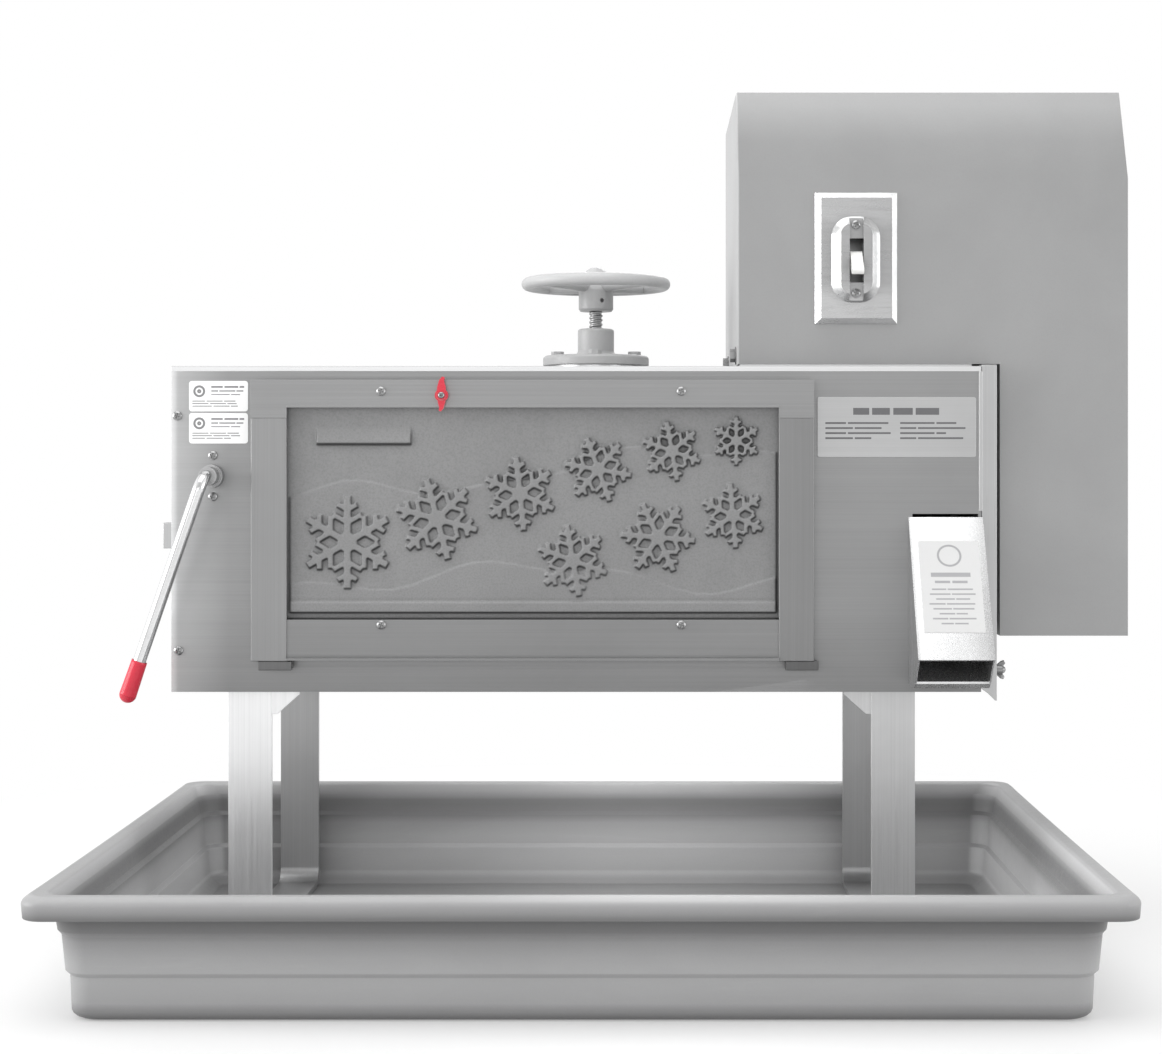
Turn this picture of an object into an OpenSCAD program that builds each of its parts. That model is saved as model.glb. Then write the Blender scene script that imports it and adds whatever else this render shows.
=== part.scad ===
// Block ice shaver on legs, standing in a drip tray.
// Frame: origin at the centre of the tray underside, +X to the chute end, +Y to the back,
// +Z up, millimetres.

/* [Drip tray] */
// Length of the tray over its rim
tray_l = 848; // [838:1:868]
// Width of the tray over its rim, front to back
tray_w = 579; // [570:1:600]
// Height of the tray rim
tray_h = 101; // [98:1:106]
// Wall and floor thickness of the tray
tray_t = 4; // [3:0.5:5]

/* [Cabinet] */
// Sheet thickness of the cabinet
sheet = 2; // [1.5:0.1:2.5]
// Height of the cabinet underside above the counter
cab_z = 221; // [216:1:225]
// Width of the leg bar
leg_w = 38; // [32:1:40]
// Thickness of the leg bar
leg_t = 5; // [4:0.5:6]

/* [Door] */
// Height of the cast relief on the door face
relief = 4; // [2:0.5:4.5]
// Thickness of the door casting
door_t = 5; // [4:0.5:5]

/* [Feed lever] */
// Length of the lever from its pivot to the grip end
lever_len = 204; // [180:1:215]
// Width of the lever bar
lever_w = 11; // [9:0.5:12]
// Diameter of the grip sleeve
grip_d = 14.6; // [14:0.2:18]
// Lean of the lever from vertical at rest, degrees
lever_lean = 19; // [15:1:20]

/* [Block clamp] */
// Diameter of the handwheel over its rim
wheel_d = 140; // [120:1:150]
// Diameter of the handwheel rim section
wheel_rim = 11.5; // [10.5:0.5:14]
// Diameter of the clamp flange
flange_d = 99.5; // [94:0.5:110]

/* [Cutter] */
// Diameter of the cutter disc
disc_d = 236; // [220:1:238]
// Number of blades on the disc
blades = 3; // [2:1:4]
// Diameter of the cutter shaft
shaft_d = 30; // [28:1:32]

/* [Drive housing] */
// Height of the housing top above the counter
hous_top = 755; // [750:0.5:765]
// Depth of the front top chamfer of the housing
hous_ch = 35; // [30:1:50]
// Height of the front top chamfer of the housing
hous_ch_h = 82; // [60:1:90]

/* [Hidden] */
$fn = 64;

// All parts but the tray are drawn from this height up and raised by lift().
base_z = 6;
run_gap = 0.05;             // running clearance on a radius

// Cabinet faces
cab_left = -365;
cab_right = 342;
cab_front = -32.5;
cab_back = 252.5;
cab_top = 505.5;
end_x = 356.5;              // outer side of the end plate

// Door opening, and the frame of guides and strips around it
open_left = -262;
open_right = 164.5;
open_bottom = 287;
open_top = 469;
frame_left = -293;
frame_right = 195;
frame_top = 493;
guide_top = 460;
guide_back = cab_front - 11; // back face of the door guides
latch_x = -127.4;
latch_z = 479.4;

// Lever pivot, along Y
pivot_x = -328.6;
pivot_z = 409.4;
pivot_r = 8;

// Clamp screw axis, along Z
screw_x = 2.5;
screw_y = 110;
screw_r = 6.35;
pad_top = 512;              // top of the round pad on the cabinet

// Cutter and motor axes, along X
cutter_y = 115;
cutter_z = 362;
motor_y = cutter_y;
motor_z = 612;

// Ice rails on the cabinet floor
rail_y = [30, 178];
rail_w = 12;
rail_top = 231;

// Legs
leg_z0 = tray_t - base_z;   // foot of the legs, on the tray floor
leg_left_x = -316.4;
leg_right_x = 247;
leg_front = -26.5;
leg_back = 241;

// Four places a quarter turn apart on a circle
function ring(u, v, r, start) =
    [for (a = [start:90:start + 270]) [u + r * cos(a), v + r * sin(a)]];

// Screw and bolt places
strip_screws = [[-180, 483], [80, 483]];                            // x, z
sill_screws = [[-180, 280.5], [80, 280.5]];                         // x, z
edge_screws = [[-359.5, 462], [-358.5, 257]];                       // x, z
pivot_screws = [for (z = [-18, 18]) [pivot_x, pivot_z + z]];        // x, z
flange_places = ring(screw_x, screw_y, 36.2, 0);                    // x, y
motor_places = [[195, 60], [315, 60], [195, 170], [315, 170]];      // x, y
bearing_places = ring(cutter_y, cutter_z, 42, 45);                  // y, z
tab_places = [[33, 518], [197, 518]];                               // y, z
function leg_places(x0) =                                           // x, y
    [for (part = [0.27, 0.73], y = [leg_front + 24, leg_back - 24]) [x0 + leg_w * part, y]];

// ---------- helpers ----------
module lift() translate([0, 0, base_z]) children();
module box(x0, x1, y0, y1, z0, z1)
    translate([x0, y0, z0]) cube([x1 - x0, y1 - y0, z1 - z0]);
// Cylinders along each axis
module xcyl(x0, x1, y, z, r) translate([x0, y, z]) rotate([0, 90, 0]) cylinder(h = x1 - x0, r = r);
module ycyl(y0, y1, x, z, r) translate([x, y0, z]) rotate([-90, 0, 0]) cylinder(h = y1 - y0, r = r);
module zcyl(z0, z1, x, y, r) translate([x, y, z0]) cylinder(h = z1 - z0, r = r);
// The same at every place in a list
module xcyls(x0, x1, places, r) for (p = places) xcyl(x0, x1, p[0], p[1], r);
module ycyls(y0, y1, places, r) for (p = places) ycyl(y0, y1, p[0], p[1], r);
module zcyls(z0, z1, places, r) for (p = places) zcyl(z0, z1, p[0], p[1], r);
// 2D shape in X and Z, its front at y, thickness t towards the back
module xz(y, t) translate([0, y + t, 0]) rotate([90, 0, 0]) linear_extrude(t) children();
// 2D shape in Y and Z, from x0 to x1
module yz(x0, x1) translate([x0, 0, 0]) rotate([90, 0, 90]) linear_extrude(x1 - x0) children();
// Rounded rectangle, centred
module rrect(w, h, r) {
    square([w - 2 * r, h], center = true);
    square([w, h - 2 * r], center = true);
    for (i = [-1, 1], j = [-1, 1]) translate([i * (w / 2 - r), j * (h / 2 - r)]) circle(r);
}
// Cross-slotted pan head screw along +Y, its head in front of y0
module pan_screw(x, y0, z, len, head_r) {
    difference() {
        union() {
            ycyl(y0 - 1.6, y0, x, z, head_r);
            translate([x, y0 - 1.6, z]) rotate([90, 0, 0])
                cylinder(h = 1, r1 = head_r, r2 = head_r * 0.6);
        }
        for (a = [0, 90]) translate([x, y0 - 2.2, z]) rotate([0, a + 20, 0])
            cube([head_r * 1.2, 1.6, 1.1], center = true);
    }
    ycyl(y0, y0 + len, x, z, 2.4);
}
module hex_head(h, flats) cylinder(h = h, r = flats / sqrt(3), $fn = 6);

// ---------- tray ----------
// Stepped wall, per stage: inset at the bottom, inset at the top, z bottom, z top, corner radius
tray_outside = [
    [31, 28.5, 0, 36, 20],
    [25.5, 23, 36, 68, 22],
    [20.5, 18, 68, tray_h - 10, 24]];
// The same columns for the inside; insets and heights all grow by the wall thickness
tray_inside = [
    [31, 28.5, 0, 36, 18],
    [25.5, 23, 36, 68, 20],
    [20.5, 17, 68, tray_h + 1 - tray_t, 22]];
rim_h = 16;

module tray_slab(inset, corner, z) translate([0, 0, z]) linear_extrude(0.01)
    rrect(tray_l - 2 * inset, tray_w - 2 * inset, corner);
module tray_stage(stage, wall) hull() {
    tray_slab(stage[0] + wall, stage[4], stage[2] + wall);
    tray_slab(stage[1] + wall, stage[4], stage[3] + wall - 0.01);
}
module drip_tray() color([0.60, 0.60, 0.60]) difference() {
    union() {
        for (stage = tray_outside) tray_stage(stage, 0, $fn = 32);
        translate([0, 0, tray_h - rim_h]) linear_extrude(rim_h) rrect(tray_l, tray_w, 18);
    }
    for (stage = tray_inside) tray_stage(stage, tray_t, $fn = 32);
    // hollow under the rolled rim
    translate([0, 0, tray_h - rim_h - 1]) linear_extrude(12) difference() {
        rrect(tray_l - 8, tray_w - 8, 15);
        rrect(tray_l - 34, tray_w - 34, 24);
    }
}

// ---------- cabinet ----------
module cabinet_floor() color([0.64, 0.65, 0.66]) difference() {
    union() {
        box(cab_left + sheet, cab_right - sheet, cab_front + sheet, cab_back - sheet,
            cab_z, cab_z + sheet);
        // turned-up hem along the back
        box(cab_left + 40, cab_right - 100, cab_back - 2 * sheet - 0.2, cab_back - sheet - 0.2,
            cab_z, cab_z + 12);
    }
    for (x0 = [leg_left_x, leg_right_x]) zcyls(cab_z - 1, cab_z + 9, leg_places(x0), 4.2);
    // melt water drain holes
    for (x = [-150:75:150], y = [80, 140]) zcyl(cab_z - 1, cab_z + 4, x, y, 5);
}
module cabinet_back() color([0.62, 0.63, 0.64]) {
    difference() {
        box(cab_left, cab_right, cab_back - sheet, cab_back, cab_z, cab_top - sheet);
        ycyl(cab_back - 9, cab_back + 1, pivot_x, pivot_z, 10);
        ycyls(cab_back - 9, cab_back + 1, pivot_screws, 2.7);
    }
    // cord peg with an upturned end
    box(144, 156, cab_back, cab_back + 30, 450, 461.5);
    box(144, 156, cab_back + 26, cab_back + 30, 450, 470);
}
module cabinet_left_wall() color([0.66, 0.67, 0.68]) {
    box(cab_left, cab_left + sheet, cab_front + sheet, cab_back - sheet, cab_z, cab_top - sheet);
    // small block on the outer face near the front
    box(cab_left - 8.5, cab_left, -27, -13, 346, 368.5);
}
module cabinet_right_wall() color([0.66, 0.67, 0.68]) difference() {
    hem_t = 1.2;
    hem_front = cab_front - 0.8;
    union() {
        box(cab_right - sheet, cab_right, cab_front + sheet, cab_back - sheet,
            cab_z, cab_top - sheet);
        // turned hem down the front edge
        box(cab_right, cab_right + hem_t, hem_front, cab_front + 14, 379, cab_top - 4.5);
        box(cab_right - 2, cab_right + hem_t, hem_front, cab_front, 379, cab_top - 4.5);
    }
    xcyl(cab_right - 9, cab_right + 1, cutter_y, cutter_z, shaft_d / 2 + 3);
    xcyls(cab_right - 9, cab_right + 1, bearing_places, 4.2);
}
module cabinet_top() color([0.82, 0.83, 0.84]) difference() {
    union() {
        box(cab_left, cab_right, cab_front, cab_back, cab_top - sheet, cab_top);
        // lip down the front edge
        box(cab_left, cab_right, cab_front - 0.3, cab_front + sheet, cab_top - 4.5, cab_top);
        // round stiffening pad under the clamp flange
        zcyl(cab_top - 0.5, pad_top, screw_x, screw_y, 43);
    }
    zcyl(cab_top - 9, pad_top + 1, screw_x, screw_y, 9);
    zcyls(cab_top - 9, pad_top + 1, flange_places, 3.7);
    zcyls(cab_top - 9, cab_top + 1, motor_places, 4.2);
}
module front_panel() color([0.62, 0.63, 0.63]) difference() {
    y0 = cab_front - 1;
    y1 = cab_front + 9;
    box(cab_left, cab_right, cab_front, cab_front + sheet, cab_z, cab_top - 4.5);
    // door and chute openings
    box(open_left + 4, open_right - 4, y0, y1, open_bottom + 4, open_top - 4);
    box(282, 339.5, y0, y1, 262, 376.5);
    ycyl(y0, y1, pivot_x, pivot_z, 10);
    ycyls(y0, y1, pivot_screws, 2.7);
    ycyls(y0, y1, concat(sill_screws, edge_screws), 2.6);
}
// Formed guide: front plate, a spacer behind its outer part and a short foot tab
module guide(x0, x1, spacer_x0, spacer_x1) {
    box(x0, x1, guide_back - 3, guide_back, 249, guide_top);
    box(spacer_x0, spacer_x1, guide_back, cab_front, 249, frame_top);
    box(x0 + 6, x1 + 4, guide_back - 1.6, guide_back + 5, 241, 249);
}
module door_guide_left() color([0.56, 0.57, 0.57]) guide(frame_left, open_left, frame_left, -272);
module door_guide_right() color([0.58, 0.59, 0.59])
    guide(open_right, frame_right, 174.5, frame_right);
module door_top_strip() color([0.62, 0.62, 0.63]) difference() {
    union() {
        box(frame_left, frame_right, guide_back - 3, guide_back, open_top, frame_top);
        // ends reaching down to the guides
        for (x = [[frame_left, open_left], [open_right, frame_right]])
            box(x[0], x[1], guide_back - 3, guide_back, guide_top, open_top + 1);
        // lower edge bead
        box(open_left, open_right, guide_back - 4, guide_back, open_top, open_top + 2);
    }
    ycyls(guide_back - 9, guide_back + 1, strip_screws, 2.6);
    ycyl(guide_back - 9, guide_back + 1, latch_x, latch_z, 3 + run_gap);
}
module door_sill() color([0.60, 0.61, 0.62]) difference() {
    union() {
        box(open_left, open_right, guide_back - 1.5, guide_back, 252, open_bottom - 2);
        box(-271.5, 174, guide_back, cab_front, 262, open_bottom - 2.5);
        // lip to the front along the lower edge
        box(open_left, open_right, guide_back - 7, guide_back, 250, 252);
    }
    ycyls(guide_back - 9, cab_front + 1, sill_screws, 2.6);
}
module frame_screws() color([0.75, 0.76, 0.77]) {
    for (p = strip_screws) pan_screw(p[0], guide_back - 3, p[1], 2.9, 3.9);
    for (p = sill_screws) pan_screw(p[0], guide_back - 1.5, p[1], 16, 3.9);
    for (p = edge_screws) pan_screw(p[0], cab_front, p[1], 8, 4);
}
module floor_rails() color([0.80, 0.80, 0.78])
    for (y = rail_y) box(-355, 250, y, y + rail_w, cab_z + sheet, rail_top);

wing_y = -18;
wing_z = 239;

module end_plate() color([0.74, 0.75, 0.76]) difference() {
    x0 = 343.3;             // inner edge of the front and top flanges
    y0 = -28;
    top = 507;
    union() {
        xz(y0, sheet) polygon([[x0, 223], [349, 219], [end_x - 1.5, 213], [end_x, 213],
            [end_x, top], [x0, top]]);
        box(end_x - 2, end_x, y0, 250, 226, top);
        box(342.1, end_x, 248, 250, 226, 505);
        box(x0, end_x, y0, 250, 505, top);
    }
    xcyl(350, 362, cutter_y, cutter_z, shaft_d / 2 + 3);
    xcyls(350, 362, bearing_places, 4.2);
    xcyl(350, 362, wing_y, wing_z, 3.2);
}
module wing_screw() color([0.72, 0.73, 0.74]) {
    xcyl(349, end_x + 1, wing_y, wing_z, 3);
    xcyl(end_x + 0.2, end_x + 6, wing_y, wing_z, 4.2);
    translate([end_x + 6, wing_y, wing_z]) sphere(r = 3.4);
    for (a = [15, 195]) translate([end_x, wing_y, wing_z]) rotate([a, 0, 0]) xz(-1.1, 2.2)
        polygon([[1, 2], [5.6, 2], [8.6, 6.4], [7.4, 8.6], [4.8, 7.8], [1, 4.2]]);
}

// ---------- legs ----------
// One bar bent to a U with turned-in top tabs, in Y and Z
module leg_profile() difference() {
    fillet_r = 14;
    bend_r = leg_t + 13;
    translate([leg_front, leg_z0]) square([leg_back - leg_front, cab_z - leg_z0]);
    // inside of the U, filleted at its lower corners
    difference() {
        translate([leg_front + leg_t, leg_z0 + leg_t])
            square([leg_back - leg_front - 2 * leg_t, cab_z - leg_z0 - 2 * leg_t]);
        for (y = [leg_front + leg_t, leg_back - leg_t]) translate([y, leg_z0 + leg_t])
            difference() {
                square([2 * fillet_r, 2 * fillet_r], center = true);
                for (i = [-1, 1]) translate([i * fillet_r, fillet_r]) circle(fillet_r);
            }
    }
    // gap between the top tabs
    translate([leg_front + 44, cab_z - 2 * leg_t]) square([leg_back - leg_front - 88, 3 * leg_t]);
    // rounded outer lower corners
    for (m = [0, 1]) translate([m * (leg_front + leg_back), 0]) mirror([m, 0])
        translate([leg_front + 18, leg_z0 + 18]) difference() {
            translate([-19, -19]) square([19, 19]);
            circle(18);
        }
}
// flip = 1 turns the gussets to the -X side
module leg_frame(x0, flip) difference() {
    side = leg_w / 2;
    union() {
        yz(x0, x0 + leg_w) leg_profile();
        // corner gussets between leg and cabinet underside
        for (y = [leg_front + 0.5, leg_back - 3.5])
            translate([x0 + side, 0, 0]) mirror([flip, 0, 0]) xz(y, 3)
                polygon([[side, cab_z], [side + 24, cab_z], [side + 24, cab_z - 3],
                    [side + 5, cab_z - 20], [side, cab_z - 20]]);
    }
    zcyls(cab_z - 12, cab_z + 1, leg_places(x0), 4.2);
}
module leg_frame_left() color([0.78, 0.79, 0.80]) leg_frame(leg_left_x, 0);
module leg_frame_right() color([0.72, 0.73, 0.74]) leg_frame(leg_right_x, 1);
module leg_bolts() color([0.70, 0.71, 0.72])
    for (x0 = [leg_left_x, leg_right_x], p = leg_places(x0)) {
        translate([p[0], p[1], cab_z - leg_t - 5]) hex_head(5, 13);
        zcyl(cab_z - leg_t, cab_z + sheet - 0.1, p[0], p[1], 4);
    }

// ---------- feed lever ----------
bar_r = lever_w / 2;
bar_y = -73;
bar_bend_r = 13;
spring_r = 12.5;
spring_y = 170;

module bearing_foot(y) translate([pivot_x, 0, pivot_z]) xz(y, 3) {
    rrect(22, 26, 9);
    for (z = [-18, 18]) translate([0, z]) circle(7.5);
    square([15, 36], center = true);
}
module bored_bearing() difference() {
    union() children();
    ycyl(cab_front - 30, cab_back + 30, pivot_x, pivot_z, pivot_r + run_gap);
    ycyls(cab_front - 30, cab_back + 30, pivot_screws, 2.6);
}
module lever_bearings() color([0.72, 0.73, 0.74]) {
    // front, foot behind the front panel
    bored_bearing() {
        bearing_foot(cab_front + sheet);
        ycyl(cab_front - 9, cab_front + sheet + 0.1, pivot_x, pivot_z, 9.95);
        ycyl(cab_front - 12, cab_front - 8.9, pivot_x, pivot_z, 9.2);
    }
    // back, foot outside the back wall
    bored_bearing() {
        bearing_foot(cab_back);
        ycyl(cab_back + 2.9, cab_back + 14, pivot_x, pivot_z, 12);
    }
}
module lever_bearing_screws() color([0.78, 0.79, 0.80]) for (p = pivot_screws) {
    pan_screw(p[0], cab_front, p[1], 8, 3.9);
    translate([0, 2 * (cab_back + 3), 0]) mirror([0, 1, 0])
        pan_screw(p[0], cab_back + 3, p[1], 8, 3.9);
}
// Closed rings side by side, with a straight tail
module return_spring() color([0.60, 0.61, 0.62]) {
    for (i = [0:7]) translate([pivot_x, spring_y + i * 3.1, pivot_z]) rotate([90, 0, 0])
        rotate_extrude() translate([spring_r, 0]) circle(1.7, $fn = 24);
    translate([pivot_x, spring_y, pivot_z]) rotate([0, -90, 0]) translate([spring_r, 0, 0])
        rotate([0, 90, 0]) cylinder(h = 16, r = 1.6, $fn = 24);
}
// Lever frame: origin on the pivot axis, local +Z up along the bar from the grip
module at_lever() translate([pivot_x, 0, pivot_z]) rotate([0, lever_lean, 0]) children();
module feed_lever() color([0.80, 0.80, 0.81]) at_lever() {
    // straight bar down to the grip
    translate([0, bar_y, -lever_len + 4]) cylinder(h = lever_len - 4 - bar_bend_r, r = bar_r);
    // bend from the bar into the shaft
    translate([0, bar_y + bar_bend_r, -bar_bend_r]) rotate([90, 0, -90])
        rotate_extrude(angle = 90) translate([bar_bend_r, 0]) circle(bar_r, $fn = 40);
    // stub that enters the shaft
    ycyl(bar_y + bar_bend_r, -48, 0, 0, bar_r);
}
module lever_grip() color([0.80, 0.16, 0.22]) at_lever() translate([0, bar_y, -lever_len])
    difference() {
        grip_r = grip_d / 2;
        union() {
            translate([0, 0, grip_r - 1]) cylinder(h = 31, r1 = grip_r, r2 = grip_r - 0.6);
            translate([0, 0, grip_r]) sphere(r = grip_r);
        }
        translate([0, 0, 3.9]) cylinder(h = 40, r = bar_r + 0.03);
    }
module lever_shaft() color([0.75, 0.75, 0.76]) difference() {
    union() {
        ycyl(-56, cab_back + 16, pivot_x, pivot_z, pivot_r);
        ycyl(cab_back + 14.5, cab_back + 18, pivot_x, pivot_z, 10);
    }
    ycyl(-60, -47.8, pivot_x, pivot_z, bar_r + 0.03);
}

// ---------- pusher ----------
arm_len = 150;
arm_lean = 6;
cheek_y = [100, 124];       // front faces of the two arm cheeks
cheek_t = 6;
shoe_r = 12;
pusher_x0 = -300;           // pusher face plate
pusher_x1 = -294;
// pad that the shoe bears on
pad_x = pivot_x - arm_len * sin(arm_lean) + shoe_r + 8.6;
spike_places = [for (y = [46:35:186], z = [270:40:430]) [y, z]];

module at_arm() translate([pivot_x, 0, pivot_z]) rotate([0, arm_lean, 0]) children();
module pusher_arm() color([0.55, 0.56, 0.57]) at_arm() difference() {
    union() {
        ycyl(cheek_y[0], cheek_y[1] + cheek_t, 0, 0, 17);
        for (y = cheek_y) {
            box(-8.5, 8.5, y, y + cheek_t, -arm_len, 0);
            ycyl(y, y + cheek_t, 0, -arm_len, 8.5);
        }
        // shoe pin
        ycyl(cheek_y[0] - 3, cheek_y[1] + cheek_t + 3, 0, -arm_len, 4);
    }
    ycyl(cheek_y[0] - 5, cheek_y[1] + 11, 0, 0, pivot_r + 0.02);
}
module arm_shoe() color([0.85, 0.84, 0.80]) at_arm() difference() {
    ycyl(cheek_y[0] + cheek_t + 0.5, cheek_y[1] - 0.5, 0, -arm_len, shoe_r);
    ycyl(cheek_y[0], cheek_y[1] + cheek_t, 0, -arm_len, 4.05);
}
module pusher_plate() color([0.66, 0.67, 0.68]) difference() {
    union() {
        // pad, and the ribs joining it to the face plate
        box(pad_x, pad_x + 5, 82, 148, 240, 336);
        for (y = [84, 140]) box(pad_x + 5, pusher_x0, y, y + 6, 240, 336);
        box(pusher_x0, pusher_x1, 6, 226, 236, 440);
        // runners straddling the floor rails
        for (y = rail_y) {
            box(pad_x, pusher_x1, y - 5, y + rail_w + 5, rail_top + 0.3, 243);
            for (side = [y - 5, y + rail_w + 0.4])
                box(pad_x, pusher_x1, side, side + 4.6, cab_z + sheet + 1, 240);
        }
    }
    xcyls(pusher_x0 - 2, -290, spike_places, 3.05);
}
module pusher_spikes() color([0.78, 0.79, 0.80]) for (p = spike_places) {
    xcyl(pusher_x0, -290, p[0], p[1], 3);
    translate([-290, p[0], p[1]]) rotate([0, 90, 0]) cylinder(h = 9, r1 = 3, r2 = 0.6);
}

// ---------- block clamp ----------
module clamp_flange() color([0.58, 0.59, 0.60]) difference() {
    hub_r = 17;
    union() {
        zcyl(pad_top, 519.5, screw_x, screw_y, flange_d / 2);
        translate([screw_x, screw_y, 519.5])
            cylinder(h = 2, r1 = flange_d / 2, r2 = flange_d / 2 - 2);
        translate([screw_x, screw_y, 521.4]) cylinder(h = 4, r1 = 20, r2 = hub_r);
        zcyl(521, 545.5, screw_x, screw_y, hub_r);
        translate([screw_x, screw_y, 545.5]) cylinder(h = 1.5, r1 = hub_r, r2 = hub_r - 1.5);
    }
    zcyl(cab_top - 1, 548, screw_x, screw_y, screw_r + run_gap);
    zcyls(cab_top - 1, 523, flange_places, 3.7);
}
// Bolts with a head on the flange and a nut under the cabinet top
module flange_bolts() color([0.55, 0.56, 0.57]) for (p = flange_places) {
    translate([p[0], p[1], 521.5]) hex_head(4.2, 10.5);
    translate([p[0], p[1], cab_top - sheet - 5]) hex_head(5, 10.5);
    zcyl(cab_top - sheet - 7, 522, p[0], p[1], 3.4);
}
module clamp_screw() color([0.70, 0.71, 0.72]) {
    zcyl(470.5, 598, screw_x, screw_y, screw_r);
    zcyl(598, 599.5, screw_x, screw_y, 5);
}
module clamp_plate() color([0.74, 0.75, 0.76]) difference() {
    union() {
        box(-95, 100, 22, 198, 462, 468);
        // stiffening ribs
        for (y = [30, 184]) box(-95, 100, y, y + 6, 468, 476);
        zcyl(462, 484, screw_x, screw_y, 14);
        // gripping teeth under the plate
        for (x = [-80:41.25:85], y = [40, 110, 180]) translate([x, y, 456])
            cylinder(h = 6.5, r1 = 0.6, r2 = 3.5);
    }
    zcyl(470, 485, screw_x, screw_y, screw_r + run_gap);
}
module handwheel() color([0.60, 0.60, 0.60]) translate([screw_x, screw_y, 0]) difference() {
    rim_r = (wheel_d - wheel_rim) / 2;
    hub_r = 16.25;
    union() {
        translate([0, 0, 589]) rotate_extrude() translate([rim_r, 0])
            circle(wheel_rim / 2, $fn = 40);
        // hub
        translate([0, 0, 563.5]) cylinder(h = 2, r1 = 14.8, r2 = hub_r);
        translate([0, 0, 565.5]) cylinder(h = 18, r = hub_r);
        translate([0, 0, 583.4]) cylinder(h = 11, r1 = hub_r, r2 = 13);
        // domed cap over the end of the screw
        intersection() {
            translate([0, 0, 592.6]) sphere(r = 12.9);
            translate([-20, -20, 592]) cube([40, 40, 20]);
        }
        // spokes
        for (a = [45:90:315]) rotate([0, 0, a]) translate([10, 0, 588]) rotate([0, 90, 0])
            cylinder(h = rim_r - 10, r1 = 6.8, r2 = 4.6);
    }
    translate([0, 0, 560]) cylinder(h = 39.6, r = screw_r + 0.02);
    // set screw hole
    rotate([0, 0, -68]) translate([10, 0, 573]) rotate([0, 90, 0]) cylinder(h = 10, r = 2);
}

// ---------- cutter ----------
disc_x = 262;               // disc face towards the ice
blade_z = [28, 110];        // inner and outer end of a blade, from the cutter axis
blade_screw_z = [40, 69, 98];

module cutter_casing() color([0.60, 0.61, 0.62]) difference() {
    floor_gap_z = cab_z + sheet + 0.2;
    union() {
        box(258, 261, -30, 250, floor_gap_z, 499.5);
        xcyl(258, 274, cutter_y, cutter_z, 126);
        box(255.5, 258, -30, 250, 480, 499.5);
    }
    xcyl(250, 280, cutter_y, cutter_z, 121);
    // room for the ice rails and the cabinet floor
    for (y = rail_y) box(250, 280, y - 0.5, y + rail_w + 0.5, 200, rail_top + 0.2);
    box(250, 280, -60, 300, 180, floor_gap_z);
}
// Blade frames: origin on the cutter axis, local +Z outwards along the blade
module each_blade() for (i = [0:blades - 1])
    translate([0, cutter_y, cutter_z]) rotate([i * 360 / blades, 0, 0]) children();
module cutter_disc() color([0.68, 0.69, 0.70]) difference() {
    union() {
        xcyl(disc_x, 270, cutter_y, cutter_z, disc_d / 2);
        xcyl(270, 292, cutter_y, cutter_z, 25);
    }
    xcyl(255, 300, cutter_y, cutter_z, shaft_d / 2 + 0.02);
    each_blade() {
        box(250, 280, 3, 13, blade_z[0], blade_z[1]);
        for (z = blade_screw_z) xcyl(255, 280, -10, z, 2.6);
    }
}
module cutter_blades() color([0.82, 0.83, 0.84]) each_blade() difference() {
    yz(disc_x - 2.6, disc_x)
        polygon([[-20, blade_z[0]], [6, blade_z[0]], [6, blade_z[1]], [-20, blade_z[1]]]);
    for (z = blade_screw_z) xcyl(250, 280, -10, z, 2.6);
}
module cutter_shaft() color([0.72, 0.73, 0.74]) {
    xcyl(disc_x, 434, cutter_y, cutter_z, shaft_d / 2);
    xcyl(434, 436, cutter_y, cutter_z, shaft_d / 2 - 1.5);
}
module bearing_block() difference() {
    union() {
        yz(0, 10) translate([cutter_y, cutter_z]) rrect(84, 84, 16);
        xcyl(10, 22, cutter_y, cutter_z, 27);
    }
    xcyl(-5, 30, cutter_y, cutter_z, shaft_d / 2 + run_gap);
    xcyls(-5, 30, bearing_places, 4.2);
}
// One outside the end plate, one inside the right wall
module cutter_bearings() color([0.50, 0.52, 0.53]) {
    translate([end_x, 0, 0]) bearing_block();
    translate([cab_right - sheet, 0, 0]) mirror([1, 0, 0]) bearing_block();
}
module bearing_bolt(len) {
    hex_head(5, 13);
    translate([0, 0, -len]) cylinder(h = len + 1, r = 4);
}
module bearing_bolts() color([0.68, 0.69, 0.70]) for (p = bearing_places) {
    translate([end_x + 10, p[0], p[1]]) rotate([0, 90, 0]) bearing_bolt(14);
    translate([cab_right - sheet - 10, p[0], p[1]]) rotate([0, -90, 0]) bearing_bolt(16);
}

// ---------- pulleys and belt ----------
pulley_x0 = 404;
pulley_x1 = 426;
cutter_pulley_r = 85;
motor_pulley_r = 42.5;
motor_shaft_r = 12.7;

module grooved_pulley(y, z, r, bore, hub) difference() {
    union() {
        xcyl(pulley_x0, pulley_x1, y, z, r);
        xcyl(pulley_x0 - 8, pulley_x0, y, z, hub);
    }
    // belt groove
    difference() {
        xcyl(409.5, 420.5, y, z, r + 5);
        xcyl(409, 421, y, z, r - 8.5);
    }
    xcyl(pulley_x0 - 20, pulley_x1 + 5, y, z, bore);
}
module cutter_pulley() color([0.45, 0.46, 0.47]) difference() {
    grooved_pulley(cutter_y, cutter_z, cutter_pulley_r, shaft_d / 2 + 0.02, 24);
    // dished web on the outer side, with a ring of holes
    difference() {
        xcyl(pulley_x1 - 4, pulley_x1 + 1, cutter_y, cutter_z, cutter_pulley_r - 12);
        xcyl(pulley_x1 - 5, pulley_x1 + 2, cutter_y, cutter_z, 28);
    }
    for (a = [0:72:288])
        xcyl(pulley_x0 - 3, pulley_x1 + 3, cutter_y + 50 * cos(a), cutter_z + 50 * sin(a), 12);
}
module motor_pulley() color([0.45, 0.46, 0.47])
    grooved_pulley(motor_y, motor_z, motor_pulley_r, motor_shaft_r + 0.02, 20);
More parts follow.
